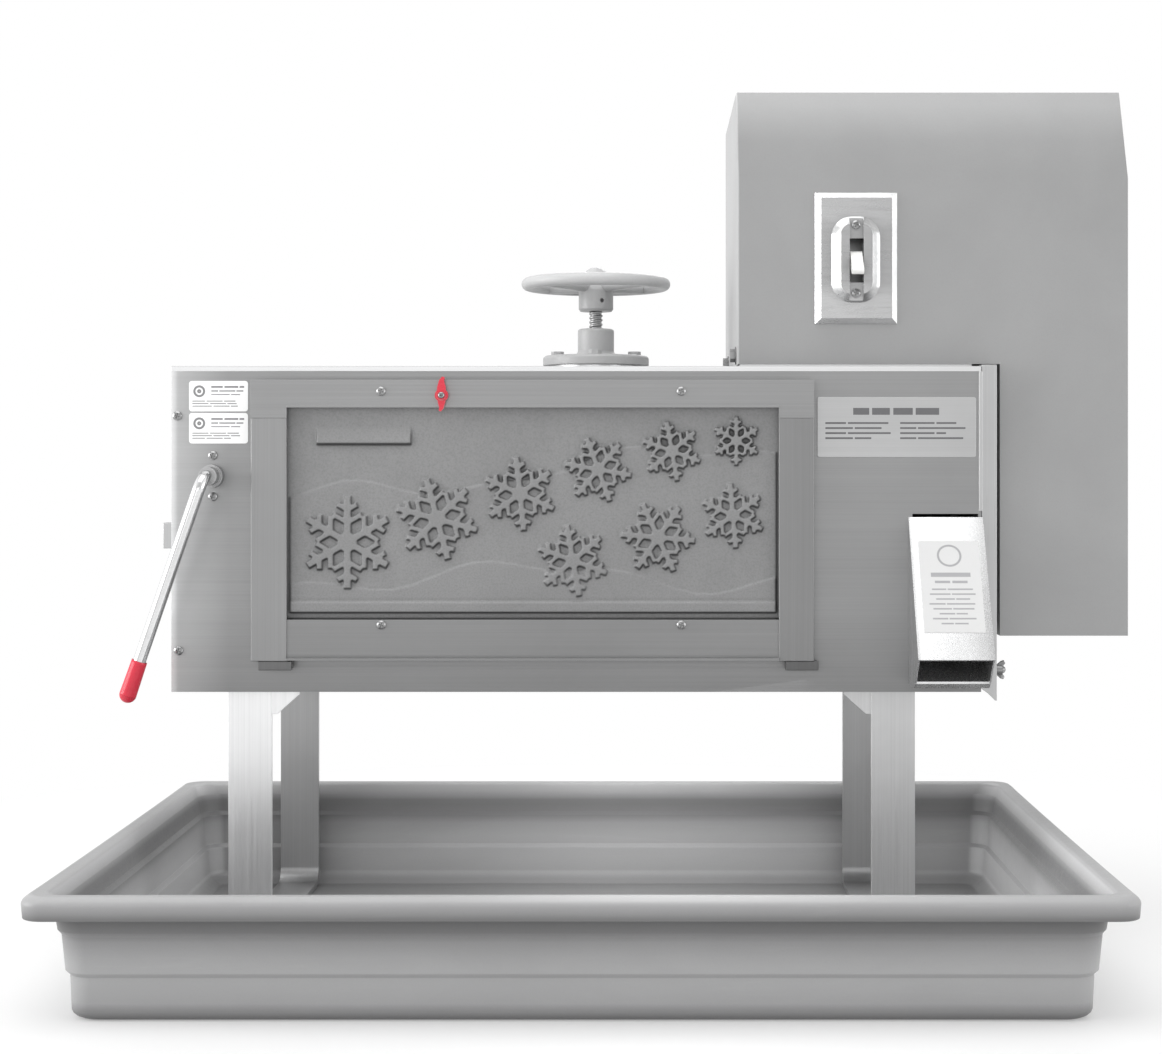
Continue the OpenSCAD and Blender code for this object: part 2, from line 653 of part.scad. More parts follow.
module motor_shaft() color([0.74, 0.75, 0.76]) {
    xcyl(346.5, 432, motor_y, motor_z, motor_shaft_r);
    xcyl(432, 434, motor_y, motor_z, 11.5);
}
// Loop round both pulleys, sunk below their rims
module belt_loop(sink) hull() {
    translate([cutter_y, cutter_z]) circle(cutter_pulley_r - sink, $fn = 96);
    translate([motor_y, motor_z]) circle(motor_pulley_r - sink, $fn = 64);
}
module drive_belt() color([0.12, 0.12, 0.13]) difference() {
    yz(410, 420) belt_loop(0.6);
    yz(409, 421) belt_loop(8.1);
}

// ---------- chute and plates ----------
// Ends of the sloped top, y and z
chute_high = [cab_front, 373.7];
chute_low = [-98, 255];
chute_slope = atan2(chute_high[1] - chute_low[1], chute_high[0] - chute_low[0]);

module discharge_chute() color([0.92, 0.92, 0.93]) {
    // sloped top
    yz(278.5, 343.5) polygon([chute_high, chute_low, [-96.2, 254], [cab_front, 369.6]]);
    // side plates
    for (x = [278.5, 342]) yz(x, x + 1.5)
        polygon([[cab_front, 372], [-97, 255.5], [-76, 233], [-66, 228], [cab_front, 228]]);
    // floor and its turned-down lip
    yz(279.5, 342.5) polygon([[cab_front, 262], [-76, 234.6], [-76, 232.6], [-66, 228],
        [-64.4, 228], [-64.4, 233.6], [cab_front, 260]]);
}
module labels() color([0.95, 0.95, 0.95]) {
    for (z = [479.2, 451.2]) translate([-323.7, 0, z]) xz(cab_front - 0.35, 0.35)
        rrect(51.4, 26.6, 2.5);
    // label lying on the chute slope
    translate([311.5, chute_low[0], chute_low[1]]) rotate([chute_slope, 0, 0])
        translate([-26.2, 25, 0.02]) cube([52, 87, 0.35]);
}
module info_plate() color([0.78, 0.79, 0.79])
    translate([268.2, 0, 452.2]) xz(cab_front - 0.8, 0.8) rrect(138.5, 52.5, 2);

// ---------- motor ----------
bell_r = 80;

module motor_mount_plate() color([0.50, 0.51, 0.52]) difference() {
    union() {
        box(133, 338, -5.3, 208, cab_top, 510);
        // upright tabs bolted to the housing
        for (p = tab_places) box(133.1, 137, p[0] - 11, p[0] + 11, cab_top, 530);
    }
    zcyls(cab_top - 1, 512, motor_places, 4.2);
    xcyls(120, 140, tab_places, 3.2);
}
module motor_body() color([0.36, 0.38, 0.40]) difference() {
    union() {
        xcyl(165, 345, motor_y, motor_z, 78);
        // cooling ribs, left out at the foot and at one place opposite
        for (a = [0:15:345]) if (abs(a - 270) > 40 && abs(a - 90) > 10)
            translate([0, motor_y, motor_z]) rotate([a - 90, 0, 0])
                box(172, 338, -1.6, 1.6, 76, 80);
        // foot
        box(185, 325, 50, 180, 510, 522);
        box(200, 310, 75, 155, 522, 545);
        // box on top
        box(215, 275, motor_y - 28, motor_y + 28, motor_z + 70, motor_z + 100);
    }
    zcyls(509, 523, motor_places, 4.2);
    xcyl(344, 350, motor_y, motor_z, 12);
}
module motor_end_bells() color([0.45, 0.47, 0.49]) {
    // shaft end
    difference() {
        union() {
            xcyl(345, 352, motor_y, motor_z, bell_r);
            translate([352, motor_y, motor_z]) rotate([0, 90, 0])
                cylinder(h = 10, r1 = bell_r, r2 = 62);
            xcyl(362, 368, motor_y, motor_z, 24);
        }
        xcyl(340, 372, motor_y, motor_z, motor_shaft_r + run_gap);
    }
    // closed end
    xcyl(158, 165, motor_y, motor_z, bell_r);
    translate([148, motor_y, motor_z]) rotate([0, 90, 0]) cylinder(h = 10, r1 = 66, r2 = bell_r);
}
module motor_bolts() color([0.68, 0.69, 0.70]) for (p = motor_places) {
    translate([p[0], p[1], 522]) hex_head(5, 13);
    zcyl(cab_top - sheet - 0.5, 523, p[0], p[1], 4);
}

// ---------- drive housing and switch ----------
house_left = 131;
house_right = 476;
house_front = -7.5;
house_back = 267.5;
house_bottom = 268;
drop_x = 362.7;             // inner side of the part that hangs beside the cabinet
switch_x = 234.6;
switch_screw_z = [570.6, 631];
toggle_y = -13.5;
toggle_z = 601;
outlet_x = 250;
outlet_z = 540;

// Housing outline in Y and Z, inset by t
module house_side(t) polygon([
    [house_front + t, house_bottom + t],
    [house_back - t, house_bottom + t],
    [house_back - t, hous_top - t],
    [house_front + hous_ch + t * 0.4, hous_top - t],
    [house_front + t, hous_top - hous_ch_h - t * 0.6]]);
module belt_housing() color([0.62, 0.63, 0.63]) difference() {
    union() {
        difference() {
            yz(house_left, house_right) house_side(0);
            yz(house_left + sheet, house_right - sheet) house_side(sheet);
            // room for the cabinet, and the open underside over it
            box(120, drop_x, -60, 300, 200, 508.5);
            box(house_left + sheet, drop_x, house_front + sheet, house_back - sheet, 500, 520);
        }
        box(drop_x, drop_x + sheet, -7, 267, 268.5, 512);
    }
    // access for the shaft and its bearing
    box(350, 370, 58, 172, 305, 419);
    xcyls(120, 134, tab_places, 3.2);
    // switch box cut-out
    box(207, 264, -9, -3, 552, 650);
    for (z = switch_screw_z) ycyl(-9, -3, 234.8, z, 2.6);
    // cord outlet
    ycyl(260, 270, outlet_x, outlet_z, 7.1);
    // cooling slots in the back
    for (x = [170:12:300]) box(x, x + 4, 262, 270, 600, 680);
}
module housing_bolts() color([0.66, 0.67, 0.68]) for (p = tab_places) {
    translate([125.5, p[0], p[1]]) rotate([0, 90, 0]) hex_head(4.5, 10.5);
    xcyl(130, 131, p[0], p[1], 8);
    xcyl(129, 139, p[0], p[1], 3);
}
module bevel_slab(y, w, h)
    translate([235.3, 0, 602]) xz(y, 0.7) square([w, h], center = true);
module boss_slab(y, w, h, r) translate([switch_x, 0, 600.5]) xz(y, 0.4) rrect(w, h, r);
module switch_plate() color([0.85, 0.85, 0.86]) difference() {
    union() {
        // bevelled edge plate
        hull() {
            bevel_slab(-8.2, 72.6, 116);
            bevel_slab(-12.5, 63, 106.5);
        }
        // raised boss with sloping sides
        hull() {
            boss_slab(-12.6, 43, 76, 18, $fn = 32);
            boss_slab(-17.5, 35, 68, 14, $fn = 32);
            boss_slab(-21, 28, 62, 10, $fn = 32);
        }
    }
    // recess, and the slot through for the toggle
    box(228.4, 240.8, -30, -14.5, 564, 637);
    box(228.4, 240.8, -30, 0, 580, 619);
    xcyl(223, 246.5, toggle_y, toggle_z, 2.5 + run_gap);
    for (z = switch_screw_z) ycyl(-30, 0, switch_x, z, 2.6);
}
module switch_box() color([0.55, 0.56, 0.57]) difference() {
    box(208, 263, -5.4, 26, 553, 649);
    box(210, 261, -7, 24, 555, 647);
}
module switch_screws() color([0.80, 0.81, 0.82])
    for (z = switch_screw_z) pan_screw(switch_x, -14.5, z, 7.6, 3.8);
module switch_toggle() color([0.95, 0.95, 0.93]) {
    xcyl(223.5, 246, toggle_y, toggle_z, 2.5);
    translate([switch_x, toggle_y, toggle_z]) rotate([90 + 34, 0, 0]) rotate([0, 90, 0])
        translate([0, 0, -5.2]) linear_extrude(10.4) {
            circle(6.6);
            polygon([[0, 6.3], [-21, 3.1], [-21, -3.1], [0, -6.3]]);
            translate([-21, 0]) circle(3.4);
        }
}

// ---------- cord ----------
cord_r = 4;
cord_y = 280;
coil_x = 150;

module oval(r, half_len) {
    for (side = [1, -1]) translate([0, side * half_len]) circle(r);
    square([2 * r, 2 * half_len], center = true);
}
module power_cord() color([0.10, 0.10, 0.11]) {
    // oval bundle hung on the peg
    translate([coil_x, 0, 380]) xz(256, 20) difference() {
        oval(62, 32);
        oval(50, 32);
    }
    // run from the housing outlet down to the bundle
    ycyl(255, cord_y, outlet_x, outlet_z, cord_r);
    zcyl(420, outlet_z, outlet_x, cord_y, cord_r);
    for (z = [outlet_z, 420]) translate([outlet_x, cord_y, z]) sphere(r = 4.6);
    translate([200, cord_y, 420]) rotate([0, 90, 0]) cylinder(h = 50, r = cord_r);
    ycyl(262, 284, 203, 420, 6);
    // plug hanging below the bundle
    zcyl(255, 295, coil_x, 269, cord_r);
    translate([coil_x, 269, 222]) cylinder(h = 38, r1 = 14.5, r2 = 8);
    for (x = [-6.5, 6.5]) box(coil_x + x - 3, coil_x + x + 3, 268.2, 269.8, 204, 223);
}
module cord_grommet() color([0.15, 0.15, 0.16]) difference() {
    union() {
        ycyl(263, 274, outlet_x, outlet_z, 7);
        ycyl(267.6, 270, outlet_x, outlet_z, 10);
    }
    ycyl(250, 280, outlet_x, outlet_z, cord_r + 0.1);
}

// ---------- door and latch ----------
door_y = -38;               // front face of the door plate
field_left = open_left + 2;
field_right = open_right - 2;
field_z = 302.5;            // bottom of the picture field
// Snow crystals: x, z, radius, turn
crystals = [
    [-210, 352, 40, 0], [-132, 372, 36, 15], [-60, 394, 32, 6],
    [8, 415, 29, 20], [72, 431, 26, 10], [128, 440, 21, 0],
    [-14, 336, 31, 10], [60, 356, 32, 25], [125, 375, 28, 5]];
// Crest heights of the far ridge and the nearer bank
function ridge_z(x) = 412 + 0.115 * (x + 50) + 9 * sin(x * 1.35 + 40) + 4 * sin(x * 3.1);
function bank_z(x) = 322 + 11 * sin(x * 1.1 + 150) + 5 * sin(x * 2.7);
// Stations across the field, in the given number of steps
function field_x(steps) =
    [for (i = [0:steps]) field_left + i * (field_right - field_left) / steps];

// Six arms with side branches
module crystal(r, turn) rotate(turn) {
    circle(r * 0.22, $fn = 6);
    for (a = [0:60:300]) rotate(a) {
        translate([-r * 0.075, 0]) square([r * 0.15, r]);
        // branch: place along the arm, length
        for (branch = [[0.42, 0.36], [0.70, 0.24]], side = [-1, 1])
            translate([0, r * branch[0]]) rotate(side * 60) translate([-r * 0.055, 0])
                square([r * 0.11, r * branch[1]]);
    }
}
module drift(height, crest) xz(door_y - height, height + 0.01)
    polygon(concat([[field_left, field_z]], crest, [[field_right, field_z]]));
module door_panel() color([0.56, 0.56, 0.56]) {
    // plate with the edge strips that run in the guides
    box(-270, 172, door_y, door_y + door_t, open_bottom - 1.6, 476);
    // bottom border rib
    box(field_left, field_right, door_y - relief, door_y, 291, 300);
    box(field_left, field_right, door_y - relief * 0.45, door_y, 300, field_z);
    // drift field below the ridge line, and the nearer bank
    drift(relief * 0.3, [for (x = field_x(28)) [x, ridge_z(x)]]);
    drift(relief * 0.55, [for (x = field_x(24)) [x, bank_z(x)]]);
    for (c = crystals) translate([c[0], 0, c[1]]) xz(door_y - relief, relief + 0.01)
        crystal(c[2], c[3]);
    // finger ledge with a sloped root
    yz(-237, -155) polygon([[door_y + 0.01, 454], [door_y - relief, 440],
        [door_y - relief, 437.6], [door_y + 0.01, 437]]);
}
module latch_wing() polygon([[-4.2, 0], [-4.6, 7], [-3.2, 14], [-0.6, 17.5], [1.8, 17],
    [1.5, 13.5], [3.4, 8], [4.2, 0]]);
module door_latch() color([0.80, 0.16, 0.22]) translate([latch_x, 0, latch_z]) {
    xz(guide_back - 7.6, 3.2) scale(0.93) {
        rotate(-4) latch_wing();
        rotate(176) scale(0.86) latch_wing();
        circle(6.2);
    }
    ycyl(guide_back - 8.8, guide_back - 7.6, 0, 0, 4.2);
    ycyl(guide_back - 6, guide_back - 0.2, 0, 0, 3);
}

drip_tray();
lift() cabinet_floor();
lift() cabinet_back();
lift() cabinet_left_wall();
lift() cabinet_right_wall();
lift() cabinet_top();
lift() front_panel();
lift() door_guide_left();
lift() door_guide_right();
lift() door_top_strip();
lift() door_sill();
lift() frame_screws();
lift() floor_rails();
lift() end_plate();
lift() leg_frame_left();
lift() leg_frame_right();
lift() leg_bolts();
lift() lever_bearings();
lift() lever_bearing_screws();
lift() return_spring();
lift() clamp_flange();
lift() flange_bolts();
lift() cutter_casing();
lift() cutter_bearings();
lift() bearing_bolts();
lift() discharge_chute();
lift() labels();
lift() info_plate();
lift() wing_screw();
lift() motor_mount_plate();
lift() motor_body();
lift() motor_end_bells();
lift() motor_bolts();
lift() drive_belt();
lift() belt_housing();
lift() housing_bolts();
lift() switch_plate();
lift() switch_box();
lift() switch_screws();
lift() power_cord();
lift() cord_grommet();
lift() door_panel();
lift() door_latch();
lift() feed_lever();
lift() lever_grip();
lift() lever_shaft();
lift() pusher_arm();
lift() arm_shoe();
lift() pusher_plate();
lift() pusher_spikes();
lift() clamp_plate();
lift() handwheel();
lift() clamp_screw();
lift() cutter_disc();
lift() cutter_blades();
lift() cutter_shaft();
lift() cutter_pulley();
lift() motor_shaft();
lift() motor_pulley();
lift() switch_toggle();
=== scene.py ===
# A lever-fed, motor-driven cutting machine: a steel cabinet on legs in a plastic drip tray.
# Metres, +Z up. The front faces -Y, the discharge chute and belt housing are on the +X side,
# and the tray stands on z = 0. CAD pieces get materials and rounded edges; the tray, door,
# clamp screw, return spring and power cord are replaced by more detailed meshes.
import math
import bpy
import bmesh
from mathutils import Vector, Matrix


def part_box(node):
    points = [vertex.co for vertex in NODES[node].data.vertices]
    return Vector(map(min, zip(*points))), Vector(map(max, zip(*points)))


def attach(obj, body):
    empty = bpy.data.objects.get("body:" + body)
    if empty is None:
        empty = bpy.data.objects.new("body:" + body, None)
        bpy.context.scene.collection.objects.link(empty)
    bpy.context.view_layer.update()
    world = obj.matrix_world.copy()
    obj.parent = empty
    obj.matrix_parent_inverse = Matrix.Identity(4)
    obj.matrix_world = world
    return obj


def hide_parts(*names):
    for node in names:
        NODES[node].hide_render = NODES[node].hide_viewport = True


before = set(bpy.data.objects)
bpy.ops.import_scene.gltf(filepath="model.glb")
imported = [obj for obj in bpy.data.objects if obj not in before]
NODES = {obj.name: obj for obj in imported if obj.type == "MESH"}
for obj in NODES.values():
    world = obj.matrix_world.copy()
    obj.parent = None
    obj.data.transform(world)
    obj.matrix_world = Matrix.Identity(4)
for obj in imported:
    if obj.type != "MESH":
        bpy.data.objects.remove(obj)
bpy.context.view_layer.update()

MM = 0.001
DATUM_Z = 0.006  # height of the machine's own datum above the tray's underside


# ------------------------------------------------------------------ material building
def grey(value):
    """A very slightly cool grey."""
    return (value, value * 1.003, value * 1.008)


def scaled(tint, factor):
    return tuple(min(1.0, x * factor) for x in tint)


class Look:
    """A node material built step by step, in object coordinates (metres)."""

    def __init__(self, name, rough=0.5, metal=0.0):
        self.material = bpy.data.materials.new(name)
        self.material.use_nodes = True
        self.tree = self.material.node_tree
        self.tree.nodes.clear()
        self.out = self.node("ShaderNodeOutputMaterial")
        self.shader = self.node("ShaderNodeBsdfPrincipled")
        self.link(self.shader.outputs[0], self.out.inputs["Surface"])
        self.shader.inputs["Roughness"].default_value = rough
        self.shader.inputs["Metallic"].default_value = metal
        self.coords = self.node("ShaderNodeTexCoord")
        self.normal = None

    def node(self, kind, **settings):
        node = self.tree.nodes.new(kind)
        for key, value in settings.items():
            setattr(node, key, value)
        return node

    def link(self, source, target):
        self.tree.links.new(source, target)

    def mapped(self, stretch=(1, 1, 1), turn=(0, 0, 0)):
        mapping = self.node("ShaderNodeMapping")
        mapping.inputs["Scale"].default_value = stretch
        mapping.inputs["Rotation"].default_value = turn
        self.link(self.coords.outputs["Object"], mapping.inputs["Vector"])
        return mapping.outputs["Vector"]

    def noise(self, size=1.0, stretch=(1, 1, 1), detail=3.0, rough=0.55, warp=0.0,
              turn=(0, 0, 0)):
        texture = self.node("ShaderNodeTexNoise")
        texture.inputs["Scale"].default_value = size
        texture.inputs["Detail"].default_value = detail
        texture.inputs["Roughness"].default_value = rough
        texture.inputs["Distortion"].default_value = warp
        self.link(self.mapped(stretch, turn), texture.inputs["Vector"])
        return texture.outputs["Fac"]

    def cells(self, size):
        texture = self.node("ShaderNodeTexVoronoi", feature="SMOOTH_F1")
        texture.inputs["Scale"].default_value = size
        self.link(self.mapped(), texture.inputs["Vector"])
        return texture.outputs["Distance"]

    def remap(self, value, to=(0, 1), over=(0.3, 0.7)):
        """Map the range `over` of a value onto the range `to`."""
        node = self.node("ShaderNodeMapRange")
        node.inputs["From Min"].default_value, node.inputs["From Max"].default_value = over
        node.inputs["To Min"].default_value, node.inputs["To Max"].default_value = to
        self.link(value, node.inputs["Value"])
        return node.outputs["Result"]

    def mix(self, factor, first, second, blend="MIX"):
        node = self.node("ShaderNodeMix", data_type="RGBA", blend_type=blend)
        if isinstance(factor, (int, float)):
            node.inputs["Factor"].default_value = factor
        else:
            self.link(factor, node.inputs["Factor"])
        for value, socket in ((first, 6), (second, 7)):  # the node's two colour sockets
            if isinstance(value, tuple):
                node.inputs[socket].default_value = (*value, 1)
            else:
                self.link(value, node.inputs[socket])
        return node.outputs[2]

    def math(self, operation, first, second, clamp=False):
        node = self.node("ShaderNodeMath", operation=operation)
        node.use_clamp = clamp
        for socket, value in enumerate((first, second)):
            if isinstance(value, (int, float)):
                node.inputs[socket].default_value = value
            else:
                self.link(value, node.inputs[socket])
        return node.outputs[0]

    def bump(self, height, strength, dist):
        """Add a layer of bump on top of any earlier one."""
        node = self.node("ShaderNodeBump")
        node.inputs["Strength"].default_value = strength
        node.inputs["Distance"].default_value = dist
        self.link(height, node.inputs["Height"])
        if self.normal is not None:
            self.link(self.normal, node.inputs["Normal"])
        self.normal = node.outputs["Normal"]
        self.link(self.normal, self.shader.inputs["Normal"])

    def edges(self, radius, over):
        """0 on flat faces, rising to 1 along sharp edges: for worn paint and rubbed metal."""
        bevel = self.node("ShaderNodeBevel", samples=4)
        bevel.inputs["Radius"].default_value = radius
        geometry = self.node("ShaderNodeNewGeometry")
        dot = self.node("ShaderNodeVectorMath", operation="DOT_PRODUCT")
        self.link(bevel.outputs["Normal"], dot.inputs[0])
        self.link(geometry.outputs["Normal"], dot.inputs[1])
        return self.remap(self.math("SUBTRACT", 1.0, dot.outputs["Value"]), over=over)

    def painted_shade(self, amount, dist, over=(0.0, 1.0), clamp=True):
        """Mask for painted shade: 0 in the open, rising towards `amount` in corners and grooves."""
        occlusion = self.node("ShaderNodeAmbientOcclusion", samples=6)
        occlusion.inputs["Distance"].default_value = dist
        is_open = self.remap(occlusion.outputs["AO"], over=over)
        return self.math("MULTIPLY", self.math("SUBTRACT", 1.0, is_open), amount, clamp)

    def shaded(self, colour, shade):
        """Painted light and shade: the colour scaled along an axis. shade: (axis, positions, tones
        there) or None.
        """
        if shade is None:
            return colour
        axis, positions, tones = shade
        split = self.node("ShaderNodeSeparateXYZ")
        self.link(self.coords.outputs["Object"], split.inputs[0])
        factor = self.remap(split.outputs[axis], to=tones, over=positions)
        scale = self.node("ShaderNodeVectorMath", operation="SCALE")
        self.link(colour, scale.inputs[0])
        self.link(factor, scale.inputs["Scale"])
        return scale.outputs[0]

    def toned(self, colour, tone):
        for axis, stops in tone:
            colour = self.ramp(colour, axis, stops)
        return colour

    def ramp(self, colour, axis, stops):
        """Tone along an axis, from (position, tone) stops.

        X and Z read the position, N.X and N.Z the surface's direction, and IN how far a
        wall faces away from (+) or towards (-) the middle.
        """
        if axis[0] == "N":
            source = self.node("ShaderNodeNewGeometry").outputs["Normal"]
        else:
            source = self.coords.outputs["Object"]
        if axis == "IN":
            flat = self.node("ShaderNodeVectorMath", operation="MULTIPLY")
            self.link(source, flat.inputs[0])
            flat.inputs[1].default_value = (1.0, 1.0, 0.0)
            dot = self.node("ShaderNodeVectorMath", operation="DOT_PRODUCT")
            self.link(flat.outputs[0], dot.inputs[0])
            self.link(self.node("ShaderNodeNewGeometry").outputs["Normal"], dot.inputs[1])
            value = dot.outputs["Value"]
        else:
            split = self.node("ShaderNodeSeparateXYZ")
            self.link(source, split.inputs[0])
            value = split.outputs[axis[-1]]
        start, end = stops[0][0], stops[-1][0]
        ramp = self.node("ShaderNodeValToRGB")
        elements = ramp.color_ramp.elements
        top = max(tone for _, tone in stops)
        for i, (position, tone) in enumerate(stops):
            element = elements[i] if i < 2 else elements.new(1.0)
            element.position = (position - start) / (end - start)
            element.color = (tone / top, tone / top, tone / top, 1)
        self.link(self.remap(value, over=(start, end)), ramp.inputs["Fac"])
        # the ramp holds tones up to 1, so the brightest is put back by scaling
        scale = self.node("ShaderNodeVectorMath", operation="SCALE")
        self.link(self.mix(1.0, colour, ramp.outputs["Color"], "MULTIPLY"), scale.inputs[0])
        scale.inputs["Scale"].default_value = top
        return scale.outputs[0]

    def colour(self, source):
        self.link(source, self.shader.inputs["Base Color"])

    def roughness(self, first, second):
        self.link(self.math("ADD", first, second), self.shader.inputs["Roughness"])


def brushed(name, base, along="X", rough=(0.30, 0.44), grain=1.0, smudge=0.06, shade=None,
            tone=()):
    """Brushed sheet: fine streaks along one axis, cloudy variation and faint rubbed patches."""
    def streaks(length_scale, cross_scale):
        return tuple(length_scale if axis == along else cross_scale for axis in "XYZ")

    m = Look(name, metal=0.92)
    fine = m.noise(stretch=streaks(3, 900), detail=4.0, rough=0.65)
    broad = m.noise(stretch=streaks(1.2, 160), rough=0.5)
    cloud = m.noise(size=5.0, detail=4.0, rough=0.6, warp=0.6)
    colour = m.mix(m.remap(cloud), grey(base * (1 - smudge)), grey(base * (1 + smudge)))
    fine_mask = m.remap(fine, to=(0, 0.30 * grain), over=(0.35, 0.65))
    colour = m.mix(fine_mask, colour, grey(base * 0.80))
    colour = m.mix(m.remap(broad, to=(0, 0.16), over=(0.4, 0.7)), colour, grey(base * 1.22))
    edge = m.edges(radius=0.0008, over=(0.03, 0.3))
    colour = m.mix(m.math("MULTIPLY", edge, 0.5), colour, grey(min(1.0, base * 1.7)))
    colour = m.toned(colour, tone)
    m.colour(m.shaded(colour, shade))
    m.roughness(m.remap(fine, to=rough), m.remap(cloud, to=(-0.03, 0.05)))
    m.shader.inputs["Anisotropic"].default_value = 0.35
    m.bump(fine, strength=0.05 * grain, dist=0.0004)
    m.bump(m.noise(size=3.2, detail=2.0, rough=0.5), strength=0.03, dist=0.004)
    return m.material


def polished(name, base, rough, tone=(), painted_shade=0.0, reach=0.006):
    """Bright metal with hair scratches, and optional painted shade in corners within `reach`."""
    m = Look(name, metal=1.0)
    cloud = m.noise(size=22.0, detail=4.0, rough=0.6)
    scratch = m.noise(stretch=(40, 900, 500), detail=2.0, rough=0.5, turn=(0.3, 0.2, 0.5))
    colour = m.mix(m.remap(cloud), grey(base * 0.93), grey(min(1, base * 1.04)))
    colour = m.mix(m.remap(scratch, to=(0, 0.18), over=(0.5, 0.75)), colour, grey(base * 0.7))
    colour = m.toned(colour, tone)
    # painted shade: corners and grooves are darkened within `reach`
    if painted_shade:
        colour = m.mix(m.painted_shade(painted_shade, reach), colour, grey(base * 0.22))
    m.colour(colour)
    m.roughness(m.remap(cloud, to=(rough * 0.7, rough * 1.5)),
                m.remap(scratch, to=(0, 0.06), over=(0.5, 0.8)))
    m.bump(cloud, strength=0.02, dist=0.001)
    return m.material


def cast(name, base, metal=0.55, painted_shade=0.45, size=1.0, reach=0.006, tone=()):
    """Sand-cast surface: pitted at two scales, painted shade in the corners, rubbed bright on
    edges.
    """
    m = Look(name, metal=metal)
    grain = m.noise(size=620.0 * size, detail=4.0, rough=0.65)
    lump = m.noise(size=110.0 * size)
    cloud = m.noise(size=9.0, detail=4.0, rough=0.6, warp=0.4)
    colour = m.mix(m.remap(cloud), grey(base * 0.92), grey(base * 1.07))
    colour = m.mix(m.remap(grain, to=(0, 0.35), over=(0.45, 0.7)), colour, grey(base * 0.72))
    rubbed = m.math("MULTIPLY", m.edges(radius=0.0011, over=(0.02, 0.22)), 0.35)
    colour = m.mix(rubbed, colour, grey(min(1, base * 1.8)))
    # painted shade darkens the corners and hollows
    dark = m.painted_shade(painted_shade, reach, over=(0.35, 0.95), clamp=False)
    m.colour(m.mix(dark, m.toned(colour, tone), grey(base * 0.34)))
    m.link(m.remap(grain, to=(0.48, 0.66)), m.shader.inputs["Roughness"])
    m.bump(lump, strength=0.5 * 0.35, dist=0.0012)
    m.bump(grain, strength=0.5, dist=0.0004)
    return m.material


def enamel(name, tint, rough, hammer=0.0, wear=0.3, peel_depth=0.12, metal=0.0, under=0.45,
           tone=()):
    """Sprayed enamel with orange peel, an optional hammered pattern, and paint rubbed thin
    on the edges to the grey `under` it."""
    m = Look(name, rough=rough, metal=metal)
    cloud = m.noise(size=7.0, detail=4.0, rough=0.6, warp=0.3)
    peel = m.noise(size=260.0, detail=2.0, rough=0.4)
    speck = m.noise(size=900.0, detail=2.0, rough=0.6)
    colour = m.mix(m.remap(cloud), scaled(tint, 0.95), scaled(tint, 1.05))
    colour = m.mix(m.remap(speck, to=(0, 0.22), over=(0.5, 0.72)), colour, scaled(tint, 0.82))
    edge = m.edges(radius=0.0009, over=(0.05, 0.3))
    patches = m.noise(size=60.0, detail=4.0, rough=0.6)
    worn = m.math("MULTIPLY", edge, m.remap(patches, to=(0, wear * 2), over=(0.4, 0.62)))
    m.colour(m.mix(worn, m.toned(colour, tone), grey(under)))
    m.roughness(m.remap(cloud, to=(rough - 0.04, rough + 0.05)),
                m.remap(peel, to=(-0.03, 0.03)))
    if hammer:
        m.bump(m.cells(size=330.0), strength=hammer, dist=0.0006)
    m.bump(peel, strength=peel_depth, dist=0.0005)
    return m.material


def plastic(name, tint, rough, texture, streak=0.05, size=1.0, painted_shade=0.0, shade=None,
            tone=()):
    """Moulded plastic: fine spark texture, slight flow shading, scuffs that change the gloss."""
    m = Look(name, rough=rough)
    cloud = m.noise(size=4.0 * size, stretch=(1, 1, 3), detail=5.0, rough=0.62, warp=0.7)
    grain = m.noise(size=800.0 * size, rough=0.6)
    scuff = m.noise(stretch=(6, 90, 90), detail=4.0, rough=0.7, warp=1.2)
    colour = m.mix(m.remap(cloud), scaled(tint, 1 - streak), scaled(tint, 1 + streak))
    colour = m.mix(m.remap(scuff, to=(0, 0.30), over=(0.58, 0.8)), colour, scaled(tint, 1.25))
    colour = m.mix(m.remap(grain, to=(0, 0.12), over=(0.5, 0.75)), colour, scaled(tint, 0.8))
    # painted shade darkens corners and overhung bands, such as the band under the tray's rim
    if painted_shade:
        dark = m.painted_shade(painted_shade, dist=0.045, over=(-0.30, 1.0))
        colour = m.mix(dark, colour, scaled(tint, 0.30))
    m.colour(m.shaded(m.toned(colour, tone), shade))
    m.roughness(m.remap(grain, to=(rough - 0.05, rough + 0.05)),
                m.remap(scuff, to=(0, 0.14), over=(0.5, 0.8)))
    m.bump(grain, strength=texture, dist=0.0004)
    m.shader.inputs["Specular IOR Level"].default_value = 0.45
    return m.material


# ------------------------------------------------------------------ materials
# shade is (axis, positions, tones there); tone is a row of (axis, ((position, tone), ...))
# front panel: painted shade darkens it towards the bottom, and a painted highlight runs along its
# rolled left edge
FRONT_STEEL = brushed(
    "steel_front", base=0.312, rough=(0.32, 0.46), grain=0.5,
    shade=("Z", (0.228, 0.30), (0.80, 1.0)),
    tone=(("X", ((-0.366, 2.5), (-0.3625, 2.1), (-0.359, 1.45), (-0.34, 1.25),
                 (-0.315, 1.0), (0.2, 1.0))),))
BACK_STEEL = brushed("steel_back", base=0.42, rough=(0.32, 0.46), grain=0.8, smudge=0.05)
TOP_STEEL = brushed(
    "steel_top", base=0.74, rough=(0.24, 0.36),
    tone=(("Z", ((0.500, 1.0), (0.5109, 1.0), (0.5113, 0.72), (0.5117, 0.72),
                 (0.5121, 1.0), (0.52, 1.0))),))
FLOOR_STEEL = brushed("steel_side", base=0.50, along="Y")
WALL_STEEL = brushed("steel_wall", base=0.52, along="Z", rough=(0.30, 0.42), grain=0.7)
